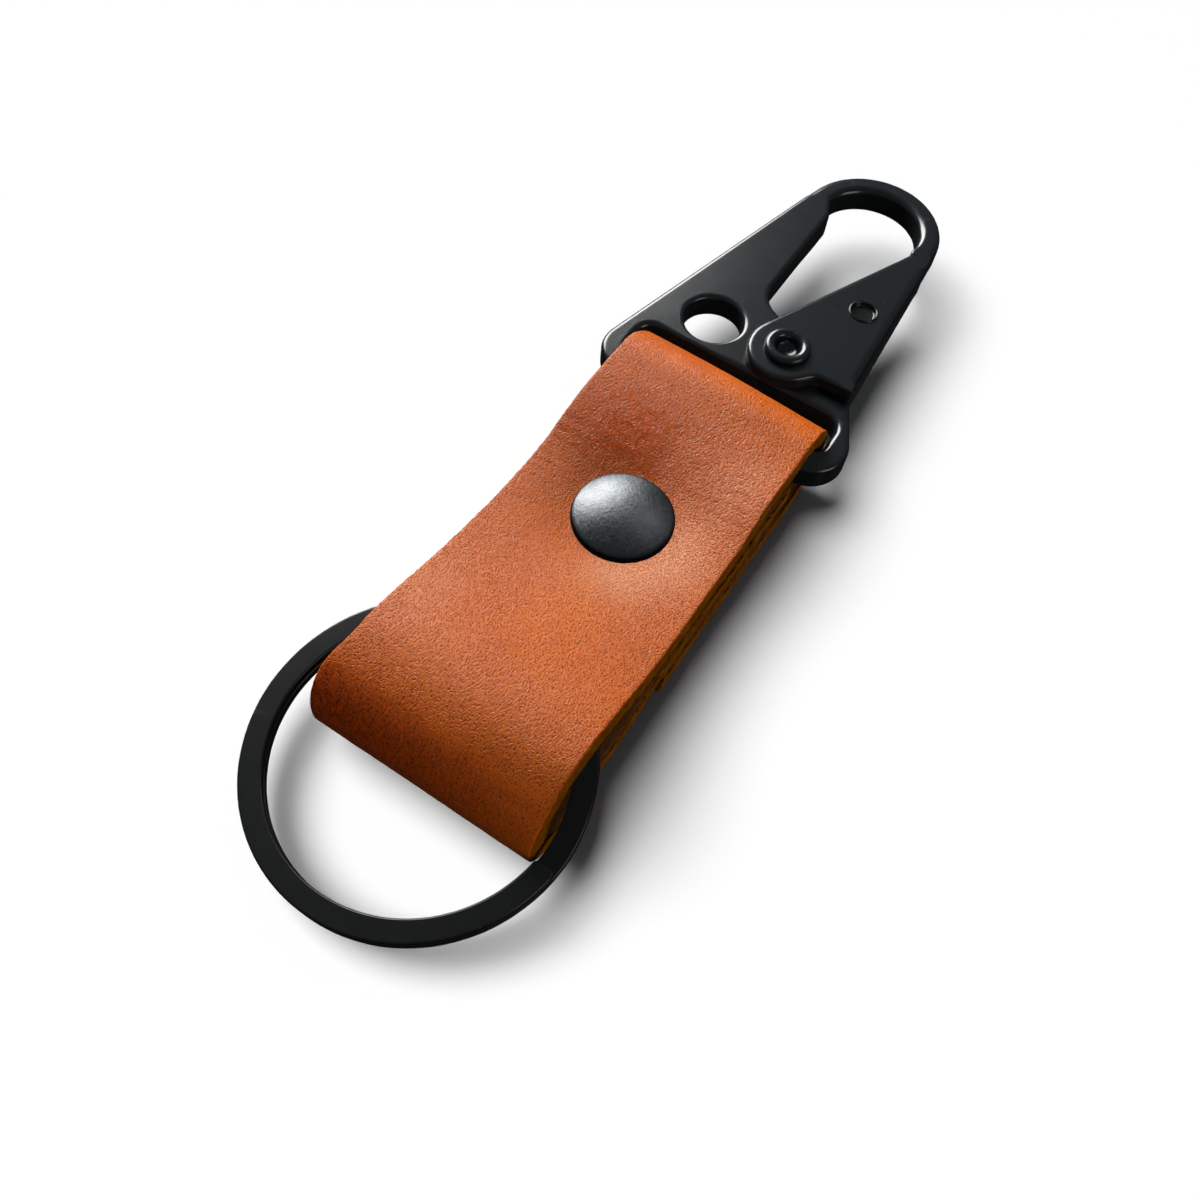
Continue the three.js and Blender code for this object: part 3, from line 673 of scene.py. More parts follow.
def build_strap():
    C, T, N, S = strip_line()
    n = len(S)
    top_w = np.clip((N[:, 1] - 0.05) / 0.6, 0, 1)                    # 1 on the top layer
    i_near = int(np.argmin(C[:, 0]))                                 # ring bend
    mid_w = np.zeros(n)
    mid_w[:i_near] = sstep(-46, -38, C[:i_near, 0])
    i_far = int(np.argmax(C[:, 0]))
    # cross-section, counter-clockwise from the right grain edge: grain, left wall, flesh, right wall
    W, H, rc = STRAP_W / 2, STRAP_T / 2, 0.30
    inner_y = np.linspace(-W + rc, W - rc, 66)
    a = np.radians(np.linspace(90, 0, 5))[1:]
    sec = [(y, H, 0) for y in inner_y]
    sec += [(W - rc + rc * math.cos(t), H - rc + rc * math.sin(t), 0 if k < 2 else 1) for k, t in enumerate(a)]
    wall = np.linspace(H - rc, -H + 0.08, 9)[1:]
    sec += [(W, h, 1) for h in wall]
    sec += [(y, -H, 2) for y in np.linspace(W - 0.08, -W + 0.08, 66)]
    sec += [(-W, h, 1) for h in wall[::-1]]
    sec += [(-(W - rc) - rc * math.cos(t), H - rc + rc * math.sin(t), 1 if k > 1 else 0) for k, t in list(enumerate(a))[::-1]]
    K = len(sec)
    sy = np.array([q[0] for q in sec])
    sh = np.array([q[1] for q in sec])
    zone = np.array([q[2] for q in sec])
    V = np.zeros((n, K, 3))
    depth = np.zeros((n, K))
    painted_light_and_shade = np.ones((n, K))
    painted_sheen = np.zeros((n, K))
    burn = np.zeros((n, K))
    deep = np.zeros((n, K))
    side_r = np.interp(C[:, 0], SIDE_X, SIDE_R)
    side_l = np.interp(C[:, 0], SIDE_X, SIDE_L)
    for arr in (side_r, side_l):
        k = 12
        g = np.exp(-0.5 * (np.arange(-3 * k, 3 * k + 1) / k) ** 2)
        g /= g.sum()
        arr[:] = np.convolve(np.pad(arr, 3 * k, mode="edge"), g, "valid")
    rise = np.degrees(np.arctan2(N[:, 1], -N[:, 0]))               # 0 where the bend faces out, 90 on top
    bend_w = np.where(C[:, 0] < -50, 1.0, 0.0)
    bend_l = np.interp(rise, [-90, -40, -15, 5, 20, 40, 60, 80, 100], [0, 0, 0.0, 0.05, 0.25, 0.62, 0.5, 0.1, 0])
    bend_r = np.interp(rise, [-90, -40, -15, 5, 20, 40, 60, 80, 100], [0, 0, 0.0, -0.1, -0.4, -0.72, -0.5, -0.1, 0])
    front = np.where(C[:, 0] < -50, 1.0, 0.0) * (1 - sstep(35, 75, rise))        # outside of the ring bend
    back = np.where(C[:, 0] > -8, 1.0, 0.0) * sstep(-7.5, -4.0, C[:, 0])
    eye = sstep(-12.0, -8.0, C[:, 0]) * np.where(np.arange(n) > i_near, 1.0, 0.0)
    for i in range(n):
        x0, z0 = C[i]
        nx, nzz = N[i]
        wt, wm = top_w[i], mid_w[i]
        s = S[i]
        wav_r = 0.13 * nz(s * 0.11, 3.1, 0.0) + 0.05 * nz(s * 0.5, 7.7, 0.0)
        wav_l = 0.13 * nz(s * 0.10, 11.3, 0.0) + 0.05 * nz(s * 0.5, 17.7, 0.0)
        for k in range(K):
            y, h, zo = sy[k], sh[k], zone[k]
            f = (y + W) / (2 * W)
            # thickness varies a little, and the skin rises and falls
            hh = h
            if zo == 0 or (zo == 1 and h > H - rc - 1e-6):
                hh += 0.05 * nz(s * 0.16, y * 0.16, 0.3) + 0.022 * nz(s * 0.55, y * 0.55, 5.3)
            elif zo == 2:
                hh += (0.06 * nz(s * 0.3, y * 0.3, 9.3) + 0.04 * nz(s * 1.3, y * 1.3, 2.3)) * (1 - 0.6 * eye[i]) + 0.16 * eye[i]
            # raw walls
            yy = y
            if abs(y) > W - 0.09 or zo == 1:
                sg = 1 if y > 0 else -1
                d = (H - h) / (2 * H)
                rag = 0.05 + 0.10 * d * d
                yy += sg * (rag * nz(s * 1.4, h * 2.2, 20.0 + sg) + 0.5 * rag * nz(s * 4.1, h * 4.5, 31.0 + sg))
                if zo == 2:
                    hh += 0.10 * nz(s * 1.7, 4.0, 40.0 + sg) * (1 - eye[i])
                depth[i, k] = d
            else:
                depth[i, k] = 0.0 if zo == 0 else 1.0
            yy += (wav_l if y > 0 else wav_r) * abs(y) / W
            px = x0 + nx * hh
            pz = z0 + nzz * hh
            # the two long edges aren't at one height
            dz = side_l[i] * max(0.0, 2 * f - 1) + side_r[i] * max(0.0, 1 - 2 * f)
            pz += dz * max(wt, wm) * (1 - eye[i] * (H - h) / (2 * H))      # the loop stays open for the clip's bar
            # the ring bend is fuller on the left shoulder and flatter on the right one
            if bend_w[i] > 0:
                d = bend_w[i] * (bend_l[i] * max(0.0, 2 * f - 1) ** 1.2 + bend_r[i] * max(0.0, 1 - 2 * f) ** 1.2)
                px += nx * d
                pz += nzz * d
            if wt > 0 and zo != 2:
                r = math.hypot(px - RIVET_X, yy - RIVET_Y)
                # hollow pressed by the rivet
                q = max(0.0, r - 5.45)
                pit = -1.28 * math.exp(-(q / (3.9 + 1.3 * sstep(0.0, 6.0, RIVET_Y - yy))) ** 1.3)
                # it runs on as a valley between the edges, up to the far bend
                pit -= float(np.interp(px, DIP_X, DIP)) * max(0.0, 1 - abs(yy / W) ** 1.3)
                pz += pit * wt
                # short creases where the left edge is pinched
                cw = math.exp(-((px + 25.5) / 3.2) ** 2) * sstep(7.5, 12.2, yy)
                pz += wt * cw * 0.075 * math.sin((px + 0.10 * yy) * 2 * math.pi / 1.15 + 1.4 * nz(px * 0.5, yy * 0.3, 2.0))
                # compression wrinkles across the hollow before the far bend
                cw = math.exp(-((px + 19.0) / 3.0) ** 2) * (0.35 + 0.65 * abs(yy) / W)
                pz += wt * cw * 0.022 * math.sin((px + 0.25 * nz(px * 0.3, yy * 0.25, 8.0) * 3) * 2 * math.pi / 1.5)
                ang = math.degrees(math.atan2(yy - RIVET_Y, px - RIVET_X))
                near = math.exp(-((r - 8.0) / 4.2) ** 2)
                # painted light and shade: the far slope darkened, the middle nearer the ring lightened, and round the
                # rivet the hollow's wall facing away from the window darkened and the wall facing it lightened
                painted_light_and_shade[i, k] -= wt * 0.23 * math.exp(-(((px + 13.7) / 4.5) ** 2 + ((yy - 5.2) / 6.5) ** 2))
                painted_light_and_shade[i, k] += wt * 0.15 * math.exp(-(((px + 37.0) / 8.0) ** 2 + ((yy + 1.0) / 7.0) ** 2))
                painted_light_and_shade[i, k] += wt * near * (-0.16 * math.exp(-((ang - 30) / 62) ** 2) + 0.07 * math.exp(-((ang + 100) / 45) ** 2))
                # painted sheen spots
                for cx, cy, rx, ry, amp in SHEEN_SPOTS:
                    painted_sheen[i, k] += wt * amp * math.exp(-(((px - cx) / rx) ** 2 + ((yy - cy) / ry) ** 2))
            if zo != 2:
                # painted light: the ring bend's front lightened, most on its right side, and the far bend lightened;
                # painted shade: deep, saturated colour on the ring bend's front and in the hollow before the far bend
                painted_light_and_shade[i, k] += front[i] * (0.20 + 0.95 * (1 - f) ** 1.6) + 0.20 * back[i]
                deep[i, k] = 0.92 * front[i] * (0.4 + 0.6 * f)
                burn[i, k] = min(1.0, 0.85 * front[i] + 0.35 * back[i] + wt * 0.66 * math.exp(-(((px + 14.5) / 6.5) ** 2 + ((yy - 4.5) / 7.0) ** 2)))
                deep[i, k] += wt * 0.50 * math.exp(-(((px + 15.5) / 6.0) ** 2 + ((yy - 5.5) / 7.0) ** 2))
            V[i, k] = (px, yy, max(pz, 0.0))
    # left far corner of the bend is worn round
    far = np.exp(-((C[:, 0] + 1.0) / 2.6) ** 2) * np.clip(N[:, 0] * 1.4 + 0.2, 0, 1)
    V[:, :, 1] -= (far[:, None] * 0.9 * np.clip((sy[None, :] - 9.0) / 3.7, 0, 1) ** 2)
    # the ring bend stands out a little further, and flares on the left
    out = 1 - sstep(-59.0, -54.5, V[:, :, 0])
    V[:, :, 1] += out * 0.55 * np.clip((V[:, :, 1] - 6.0) / 6.7, 0, 1) ** 1.5 * np.where(V[:, :, 2] > 3.0, 1.0, V[:, :, 2] / 3.0)
    V[:, :, 0] -= 0.3 * out
    coarse = sstep(-31.0, -16.0, V[:, :, 0]) * (0.45 + 0.55 * (1 - sstep(-8.0, 6.0, V[:, :, 1])))     # grain stands out towards the clip
    verts = row(V.reshape(-1, 3))
    i, k = np.meshgrid(np.arange(n - 1), np.arange(K), indexing="ij")
    k2 = (k + 1) % K
    faces = np.stack([i * K + k, i * K + k2, (i + 1) * K + k2, (i + 1) * K + k], -1).reshape(-1, 4).tolist()
    zf = np.where((zone[np.arange(K)] == 1) | (zone[(np.arange(K) + 1) % K] == 1), 1, zone)
    zf[(zone == 0) & (np.roll(zone, -1) == 0)] = 0
    fm = np.tile(zf, n - 1)
    faces.append(list(range(K))[::-1])
    faces.append([(n - 1) * K + q for q in range(K)])
    fm = np.r_[fm, 1, 1]
    ob = new_object("leather_strap_skin", verts, faces, (M_GRAIN, M_CUT, M_FLESH), fm)
    me = ob.data
    for label, val in (("depth", depth), ("painted_light_and_shade", painted_light_and_shade), ("painted_sheen", painted_sheen), ("deep", deep), ("burn", burn), ("coarse", coarse)):
        at = me.attributes.new(label, "FLOAT", "POINT")
        at.data.foreach_set("value", val.ravel().astype(np.float32))
    uvl = me.uv_layers.new(name="strip")
    vi = np.zeros(len(me.loops), np.int32)
    me.loops.foreach_get("vertex_index", vi)
    sv = np.repeat(S, K)[vi] / 100.0
    yv = np.tile(sy, n)[vi] / 100.0
    uvl.data.foreach_set("uv", np.c_[sv, yv].astype(np.float32).ravel())
    bm = bmesh.new()
    bm.from_mesh(me)
    bmesh.ops.recalc_face_normals(bm, faces=bm.faces)
    bm.to_mesh(me)
    bm.free()
    me.set_sharp_from_angle(angle=60 * RAD)
    return ob, C, N, S


strap, LINE_C, LINE_N, LINE_S = build_strap()
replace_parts(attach(strap, "strap"), "leather_strap")

# ------------------------------------------------------------------ strap rivet
Rd = (5.5 ** 2 + 1.25 ** 2) / (2 * 1.25)
amax = math.asin(5.5 / Rd)
dome = [(Rd * math.sin(t), CAP_Z + 2.32 - Rd + Rd * math.cos(t)) for t in np.linspace(amax, 0, 22)]
dome[-1] = (0.0, CAP_Z + 2.32)
cap_prof = [(r, z + CAP_Z) for r, z in ((0.0, 1.2), (2.3, 1.15), (2.32, 0.05), (4.8, -0.08), (5.15, -0.26), (5.42, -0.28), (5.6, -0.14), (5.68, 0.1), (5.71, 0.4), (5.71, 0.66), (5.67, 0.86), (5.59, 0.99))] + dome
v, f = lathe(cap_prof, 112)
v = v + np.array([RIVET_X - 0.06, RIVET_Y - 0.42, 0])
cap = new_object("strap_rivet_cap_dome", row(v), f, (M_GUN,))
outward(cap)
cap.data.set_sharp_from_angle(angle=50 * RAD)
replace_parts(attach(cap, "strap"), "strap_rivet_cap")

back_prof = round_profile([(0.0, 0.1), (4.2, 0.1), (4.95, 0.26), (5.2, 0.6), (5.15, 0.95), (4.8, 1.08), (3.9, 1.05), (3.75, 0.62), (0.0, 0.62)], 0.4, 4)
v, f = lathe(back_prof, 96)
v = v + np.array([RIVET_X, RIVET_Y, 0])
backcap = new_object("strap_rivet_back_cap_disc", row(v), f, (M_GUN,))
outward(backcap)
backcap.data.set_sharp_from_angle(angle=50 * RAD)
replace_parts(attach(backcap, "strap"), "strap_rivet_back_cap")
nodes["strap_rivet_post"].data.materials.clear()
nodes["strap_rivet_post"].data.materials.append(M_GUN)

# ------------------------------------------------------------------ snap clip
nose_in = PIVOT[0] + math.sqrt(NOSE_R ** 2 - (HOOK[1] - HOOK[3] - PIVOT[1]) ** 2)
nose_out = PIVOT[0] + math.sqrt(NOSE_R ** 2 - (HOOK[1] - HOOK[2] - PIVOT[1]) ** 2)
outline = join_pts(
    arc(2.4, -12.1, 4.5, 180, 298), (LEDGE_U, -13.4), (LEDGE_U, -8.8),
    arc(PIVOT[0], PIVOT[1], LOBE_R, -100, 22), [(17.7, 0.6), (18.15, 1.6), (18.9, 2.55), (20.0, 3.25), (21.4, ARM_V)],
    (37.6, ARM_V), arc(HOOK[0], HOOK[1], HOOK[3], 81, -90), (nose_in, HOOK[1] - HOOK[3]), (nose_out, HOOK[1] - HOOK[2]),
    arc(HOOK[0], HOOK[1], HOOK[2], -90, 76), arc(2.5, 12.45, 4.2, 76, 180))
slot_loop = join_pts(
    arc(SLOT_NEAR + 1.2, -SLOT_HALF + 1.2, 1.2, 180, 270, 10), arc(SLOT_FAR - SLOT_FAR_R, -SLOT_HALF + SLOT_FAR_R, SLOT_FAR_R, 270, 360, 6),
    arc(SLOT_FAR - SLOT_FAR_R, SLOT_HALF - SLOT_FAR_R, SLOT_FAR_R, 0, 90, 6), arc(SLOT_NEAR + 1.2, SLOT_HALF - 1.2, 1.2, 90, 180, 10))
hole_loop = arc(HOLE[0], HOLE[1], HOLE[2], 0, 357, 3)
bore_loop = arc(PIVOT[0], PIVOT[1], 2.1, 0, 354, 6)


def body_edge(P):
    """rim radius: fuller round the hook and the slot, tight at the bore"""
    e = np.full(len(P), 0.6)
    u, w = P[:, 0], P[:, 1]
    d = np.hypot(u - HOOK[0], w - HOOK[1])
    e = np.where((u > 31) & (np.abs(d - HOOK[3]) < 0.5), 0.62 + 0.3 * sstep(37.0, 42.0, u), e)
    e = np.where((u > 33) & (np.abs(d - HOOK[2]) < 0.5), 0.88, e)
    e = np.where((u > SLOT_NEAR - 0.2) & (u < SLOT_FAR + 0.2) & (np.abs(w) < SLOT_HALF + 0.2), 0.72 - 0.24 * np.exp(-((w - HOLE[1]) / 3.4) ** 4), e)
    d = np.hypot(u - HOLE[0], w - HOLE[1])
    e = np.where(np.abs(d - HOLE[2]) < 0.4, 0.62 - 0.16 * sstep(HOLE[0] - 1.0, HOLE[0] - 3.0, u), e)
    d = np.hypot(u - PIVOT[0], w - PIVOT[1])
    return np.where(np.abs(d - 2.1) < 0.4, 0.15, e)


v, f = plate([outline, slot_loop, hole_loop, bore_loop], -BODY_H, BODY_H, 0.6, seg=6, edge_at=body_edge)
v[:, 2] *= np.where(v[:, 2] < 0, 1 + 0.26 * sstep(29.0, 35.0, v[:, 0]), 1.0)      # the hook is deeper underneath
body = new_object("clip_plate", clip_row(v), f, (M_BLACK,))
outward(body)


def prism(name, pts, z0, z1):
    P = np.asarray(pts, float)
    m = len(P)
    vv = np.vstack([np.c_[P, np.full(m, z0)], np.c_[P, np.full(m, z1)]])
    ff = [list(range(m))[::-1], list(range(m, 2 * m))] + [[a, (a + 1) % m, m + (a + 1) % m, m + a] for a in range(m)]
    ob = new_object(name, clip_row(vv), ff)
    outward(ob)
    return ob


cut(body, [
    prism("c1", arc(PIVOT[0], PIVOT[1], 3.45, 0, 354, 6), -3, 0.05),
    prism("c2", [(PIVOT[0], PIVOT[1] - 4.2), (PIVOT[0] + 6.6, PIVOT[1] - 5.6), (PIVOT[0] + 6.6, PIVOT[1] + 0.9), (PIVOT[0] + 2.5, PIVOT[1] + 0.9)], -3, 0.05),
    prism("c3", [(PIVOT[0] - 3.2, PIVOT[1] - 0.2), (PIVOT[0] - 2.2, PIVOT[1] - 0.2), (PIVOT[0] - 2.2, PIVOT[1] + 4.9), (PIVOT[0] - 3.2, PIVOT[1] + 4.9)], -3, 0.05),
])
finish_metal(body)
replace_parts(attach(body, "clip"), "clip_body")

# gate lever: one bent plate over and under the clip plate, closed by its spine, solid at the tip
tip_in = (36.7, -8.8)


def on_tip(vv):
    return (PIVOT[0] + math.sqrt(TIP_R ** 2 - (vv - PIVOT[1]) ** 2), vv)


lever_line = join_pts(
    (HEEL_U, HEEL_V), on_tip(SPINE_V), on_tip(-9.9), tip_in, arc(PIVOT[0], PIVOT[1], HUB_R, 67, 222),
    (8.7, -7.3), (9.4, -7.85), (9.9, -8.4), (HEEL_U, -9.1))
LEVER_H = 3.45


def lever_edge(P):
    u, w = P[:, 0], P[:, 1]
    off = w - (HEEL_V + (u - HEEL_U) * (SPINE_V - HEEL_V) / (on_tip(SPINE_V)[0] - HEEL_U))
    e = 0.54 + 0.5 * (1 - sstep(0.3, 1.2, off)) * sstep(9.6, 11.4, u)
    for c, r in ((PIVOT, 2.1), (PIN, PIN[2] + 0.05)):
        e = np.where(np.abs(np.hypot(u - c[0], w - c[1]) - r) < 0.3, 0.12, e)
    return e


def lever_top(u):
    return LEVER_H - 1.0 * np.clip((u - 14.0) / 23.0, 0, 1)


pin_loop = arc(PIN[0], PIN[1], PIN[2] + 0.05, 0, 350, 8)
v, f = plate([lever_line, pin_loop, bore_loop], -LEVER_H, LEVER_H, 0.54, step=0.2, round_=0.3, seg=6, edge_at=lever_edge)
v[:, 2] *= lever_top(v[:, 0]) / LEVER_H
lever = new_object("gate_lever_shell", clip_row(v), f, (M_BLACK,))
outward(lever)
cut(lever, [prism("c4", [(4.0, 4.0), (4.0, -15.0), (9.6, -15.0), (9.6, -11.75), (29.5, -10.6), (29.5, 4.0)], -1.85, 1.85)])
finish_metal(lever)
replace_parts(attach(lever, "gate"), "gate_lever")

# semi-tubular pivot rivet
riv = [(0.0, -4.25), (1.8, -4.2), (2.55, -4.02), (2.9, -3.72), (2.9, -3.47), (2.0, -3.47), (2.0, 3.47), (2.6, 3.47), (2.78, 3.6), (2.84, 3.85), (2.74, 4.14), (2.48, 4.32), (2.15, 4.35), (1.82, 4.24), (1.6, 4.02), (1.5, 3.7), (1.44, 3.3), (1.25, 3.0), (0.85, 2.82), (0.4, 2.73), (0.0, 2.70)]
v, f = lathe(round_profile(riv, 0.16, 3), 88)
v = v + np.array([PIVOT[0], PIVOT[1], 0])
pivot = new_object("gate_pivot_rivet_tube", clip_row(v), f, (M_BLACK,))
outward(pivot)
pivot.data.set_sharp_from_angle(angle=55 * RAD)
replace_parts(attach(pivot, "clip"), "gate_pivot_rivet")

# pin with a rolled rim, sunk in the lever
pt = float(lever_top(np.array(PIN[0])))
pin_prof = [(0.0, -pt + 0.1), (1.57, -pt + 0.1), (1.65, -pt + 0.3), (1.65, pt - 0.02), (1.87, pt - 0.02), (1.87, pt + 0.06), (1.79, pt + 0.16), (1.67, pt + 0.17), (1.55, pt + 0.06), (1.48, pt - 0.28), (1.36, pt - 0.36), (0.0, pt - 0.38)]
v, f = lathe(round_profile(pin_prof, 0.1, 3), 64)
a = math.atan(1.0 / 23.0)
v = np.c_[v[:, 0] + PIN[0], v[:, 1] + PIN[1], v[:, 2] - np.where(v[:, 2] > 0, 1.0, -1.0) * v[:, 0] * math.tan(a)]
pin = new_object("spring_pin_rimmed", clip_row(v), f, (M_PIN,))
outward(pin)
pin.data.set_sharp_from_angle(angle=55 * RAD)
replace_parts(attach(pin, "gate"), "spring_pin")


# torsion spring wound round the pivot, its long leg lying along the lever
def spring_mesh():
    R, turns, L1, L2, z0, z1, rw = 2.72, 2.25, 4.4, 12.2, -1.42, -0.34, 0.2
    Lc = 2 * math.pi * R * turns
    pts = []
    for s in np.linspace(0, L1 + Lc + L2, 260):
        if s < L1:
            pts.append((PIVOT[0] - R, PIVOT[1] + L1 - s, z0))
        elif s < L1 + Lc:
            k = (s - L1) / Lc
            a = math.pi + k * turns * 2 * math.pi
            pts.append((PIVOT[0] + R * math.cos(a), PIVOT[1] + R * math.sin(a), z0 + (z1 - z0) * k))
        else:
            a = math.pi + turns * 2 * math.pi
            q = s - L1 - Lc
            pts.append((PIVOT[0] + R * math.cos(a) - q * math.sin(a), PIVOT[1] + R * math.sin(a) + q * math.cos(a) - 0.005 * q, z1))
    P = np.array(pts)
    T = np.gradient(P, axis=0)
    T /= np.linalg.norm(T, axis=1)[:, None]
    up = np.array([0, 0, 1.0])
    A = np.cross(T, up)
    A /= np.linalg.norm(A, axis=1)[:, None]
    B = np.cross(A, T)
    m = 12
    w = np.arange(m) * 2 * math.pi / m
    V = (P[:, None] + rw * (A[:, None] * np.cos(w)[None, :, None] + B[:, None] * np.sin(w)[None, :, None])).reshape(-1, 3)
    n = len(P)
    F = [(i * m + j, i * m + (j + 1) % m, (i + 1) * m + (j + 1) % m, (i + 1) * m + j) for i in range(n - 1) for j in range(m)]
    F += [list(range(m))[::-1], [(n - 1) * m + j for j in range(m)]]
    return V, F


v, f = spring_mesh()
spring = new_object("gate_spring_wire", clip_row(v), f, (M_WIRE,))
outward(spring)
s0, s1 = clip_row([(13.6, -6.15, -0.34), (18.7, -6.18, -0.34)])
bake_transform(spring)
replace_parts(spring, "gate_spring")


# ------------------------------------------------------------------ split ring
def ring_mesh():
    ro, ri, coil, gap = RING["ro"], RING["ri"], RING["coil"], RING["gap"]
    rise = (coil + gap) / 2
    step, back = 26 * RAD, 3 * RAD
    total = 4 * math.pi - step - 2 * back - 3 * RAD
    rc = 0.24
    sec = []
    for cx, cz, a0 in ((ri + rc, -coil / 2 + rc, 180), (ro - rc, -coil / 2 + rc, 270), (ro - rc, coil / 2 - rc, 0), (ri + rc, coil / 2 - rc, 90)):
        for t in np.radians(np.linspace(a0, a0 + 90, 5)):
            sec.append((cx + rc * math.cos(t), cz + rc * math.sin(t)))
    sec = np.array(sec)
    m = len(sec)
    mid = np.array([(ri + ro) / 2, 0.0])
    th = list(np.linspace(0, total, 460))
    V, n = [], 0
    # rounded ends: the section shrinks over the last bit of arc
    ends = [(-0.5 * RAD * 0, 1.0)]
    for t in th:
        a = RING["end"] * RAD - t
        k = min(1.0, max(0.0, (t - (2 * math.pi - step - back)) / step))
        z = rise - 2 * rise * (k * k * (3 - 2 * k))
        dist = min(t, total - t) * (ri + ro) / 2
        q = 1.0 if dist > 0.35 else math.sqrt(max(0.0, 1 - (1 - dist / 0.35) ** 2))
        S = sec.copy()
        w = 0.35 * (1 - q)
        c = S - mid
        half = np.array([(ro - ri) / 2, coil / 2])
        S = mid + c * (1 - w / half * 0.9)
        lump = 0.012 * nz(math.cos(a) * 6, math.sin(a) * 6, z)
        for r, h in S:
            V.append(((r + lump) * math.cos(a), (r + lump) * math.sin(a), z + h))
        n += 1
    F = [(i * m + j, i * m + (j + 1) % m, (i + 1) * m + (j + 1) % m, (i + 1) * m + j) for i in range(n - 1) for j in range(m)]
    F += [list(range(m))[::-1], [(n - 1) * m + j for j in range(m)]]
    return np.array(V), F


v, f = ring_mesh()
ring = new_object("split_ring_band", ring_row(v), f, (M_RING,))
outward(ring)
finish_metal(ring, 50)
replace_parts(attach(ring, "ring"), "split_ring")

# ------------------------------------------------------------------ floor, light, camera
fl = bpy.data.meshes.new("floor")
fl.from_pydata([(-3, -3, 0), (3, -3, 0), (3, 3, 0), (-3, 3, 0)], [], [(0, 1, 2, 3)])
floor = bpy.data.objects.new("floor", fl)
bpy.context.scene.collection.objects.link(floor)
floor.location.z = -0.0020
fg = Graph("pale_floor")
fg.set(Base_Color=(0.46, 0.46, 0.46, 1.0), Roughness=0.85)
fg.b.inputs["Specular IOR Level"].default_value = 0.1
fl.materials.append(fg.m)
# pale wall all round the floor, far behind the lights
wn = 64
wa = np.arange(wn) * 2 * math.pi / wn
wr = [(2.6, -0.002), (2.75, 0.03), (2.87, 0.12), (2.94, 0.3), (2.95, 4.5)]
wv = [(r * math.cos(t), r * math.sin(t), z) for r, z in wr for t in wa]
wf = [(k * wn + j, k * wn + (j + 1) % wn, (k + 1) * wn + (j + 1) % wn, (k + 1) * wn + j) for k in range(len(wr) - 1) for j in range(wn)]
wg = Graph("pale_wall")
wg.set(Base_Color=(0.0, 0.0, 0.0, 1.0), Roughness=1.0, Emission_Color=(1.0, 1.0, 1.0, 1.0), Emission_Strength=1.0)
wg.b.inputs["Specular IOR Level"].default_value = 0.0
wall_round = new_object("pale_wall", wv, wf, (wg.m,))
wall_round.visible_diffuse = wall_round.visible_glossy = wall_round.visible_shadow = wall_round.visible_transmission = False

world = bpy.data.worlds.new("studio")
bpy.context.scene.world = world
world.use_nodes = True
wt_ = world.node_tree
sky = wt_.nodes.new("ShaderNodeTexCoord")
sep = wt_.nodes.new("ShaderNodeSeparateXYZ")
ramp = wt_.nodes.new("ShaderNodeValToRGB")
wt_.links.new(sky.outputs["Generated"], sep.inputs[0])
rng = wt_.nodes.new("ShaderNodeMapRange")
rng.inputs["From Min"].default_value, rng.inputs["From Max"].default_value = -1.0, 1.0
wt_.links.new(sep.outputs["Z"], rng.inputs["Value"])
wt_.links.new(rng.outputs[0], ramp.inputs[0])
ramp.color_ramp.elements[0].position, ramp.color_ramp.elements[0].color = 0.42, (0.014, 0.013, 0.012, 1.0)
ramp.color_ramp.elements[1].position, ramp.color_ramp.elements[1].color = 0.62, (0.094, 0.098, 0.102, 1.0)
wt_.links.new(ramp.outputs[0], wt_.nodes["Background"].inputs[0])
wt_.nodes["Background"].inputs[1].default_value = 1.0


def softbox(name, direction, dist, size, radiance, colour=(1, 1, 1)):
    d = Vector(direction).normalized()
    li = bpy.data.lights.new(name, "AREA")
    li.shape, li.size, li.size_y = "RECTANGLE", size[0], size[1]
    li.energy = radiance * math.pi * size[0] * size[1]
    li.color = colour
    ob = bpy.data.objects.new(name, li)
    bpy.context.scene.collection.objects.link(ob)
    ob.location = Vector((0, 0, 0.006)) + d * dist
    ob.rotation_mode = "QUATERNION"
    ob.rotation_quaternion = d.to_track_quat("Z", "Y")
    return ob


def receivers(light, obs, state):
    """which objects a light falls on"""
    c = bpy.data.collections.new(light.name + "_falls_on")
    for o in obs:
        c.objects.link(o)
    light.light_linking.receiver_collection = c
    for q in c.collection_objects:
        q.light_linking.link_state = state


def no_shadow_of(light, obs):
    c = bpy.data.collections.new(light.name + "_passes")
    for o in obs:
        c.objects.link(o)
    light.light_linking.blocker_collection = c
    for q in c.collection_objects:
        q.light_linking.link_state = "EXCLUDE"


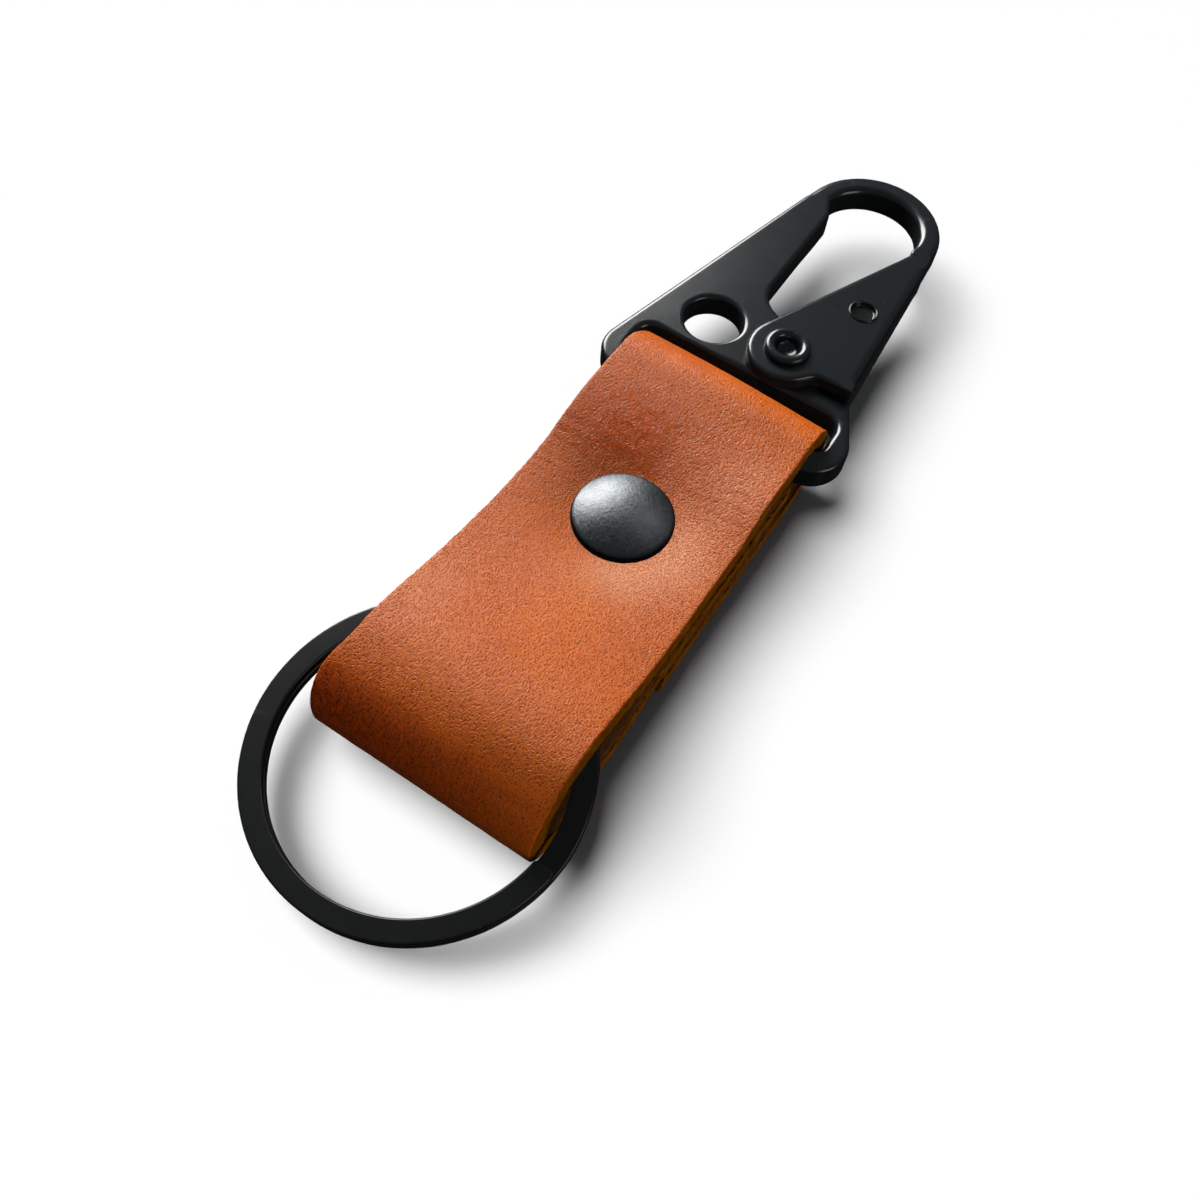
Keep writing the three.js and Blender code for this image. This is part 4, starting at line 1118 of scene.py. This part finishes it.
def aim(az, el):
    return (math.cos(el * RAD) * math.cos(az * RAD), math.cos(el * RAD) * math.sin(az * RAD), math.sin(el * RAD))


window = softbox("window", aim(51.5, 30), 0.70, (0.48, 0.38), 13.2, (1.0, 0.99, 0.98))
receivers(window, [floor], "EXCLUDE")
no_shadow_of(window, [cap])
receivers(softbox("right_fill", aim(-100, 20), 0.9, (0.5, 0.4), 1.9, (1.0, 0.95, 0.88)), [floor, strap, cap], "EXCLUDE")
soft_fill = softbox("right_fill_leather", aim(-100, 20), 0.9, (0.5, 0.4), 1.9, (1.0, 0.95, 0.88))
soft_fill.visible_glossy = False
receivers(soft_fill, [strap], "INCLUDE")
receivers(softbox("cap_glow", aim(-15, 53), 0.9, (0.46, 0.46), 1.25, (1.0, 0.96, 1.03)), [cap], "INCLUDE")
receivers(softbox("ring_edge", aim(-23, 14), 0.8, (0.25, 0.18), 3.2), [ring], "INCLUDE")
receivers(softbox("cap_edge", aim(27, 17), 0.8, (0.24, 0.30), 4.2, (0.97, 1.0, 1.02)), [cap], "INCLUDE")
sun = bpy.data.lights.new("floor_wash", "SUN")
sun.energy, sun.angle = 7.36, 45 * RAD
wash = bpy.data.objects.new("floor_wash", sun)
bpy.context.scene.collection.objects.link(wash)
wash.rotation_mode = "QUATERNION"
wash.rotation_quaternion = Vector(aim(116, 62.5)).to_track_quat("Z", "Y")
receivers(wash, [floor], "INCLUDE")
floor.visible_diffuse = floor.visible_glossy = False
strap.visible_glossy = False

cam_data = bpy.data.cameras.new("camera")
cam = bpy.data.objects.new("camera", cam_data)
bpy.context.scene.collection.objects.link(cam)
right, up, fwd = Vector((0.54010, -0.83748, 0.08460)), Vector((0.68882, 0.49750, 0.52739)), Vector((0.48371, 0.22655, -0.84547))
m = Matrix((right, up, -fwd)).transposed().to_4x4()
m.translation = Vector(row((-90.562, -29.350, 95.909 + 9.4)))
cam.matrix_world = m
cam_data.sensor_width, cam_data.lens = 36.0, 33.066
cam_data.clip_start, cam_data.clip_end = 0.005, 20
bpy.context.scene.camera = cam
bpy.context.scene.view_settings.view_transform = "Standard"
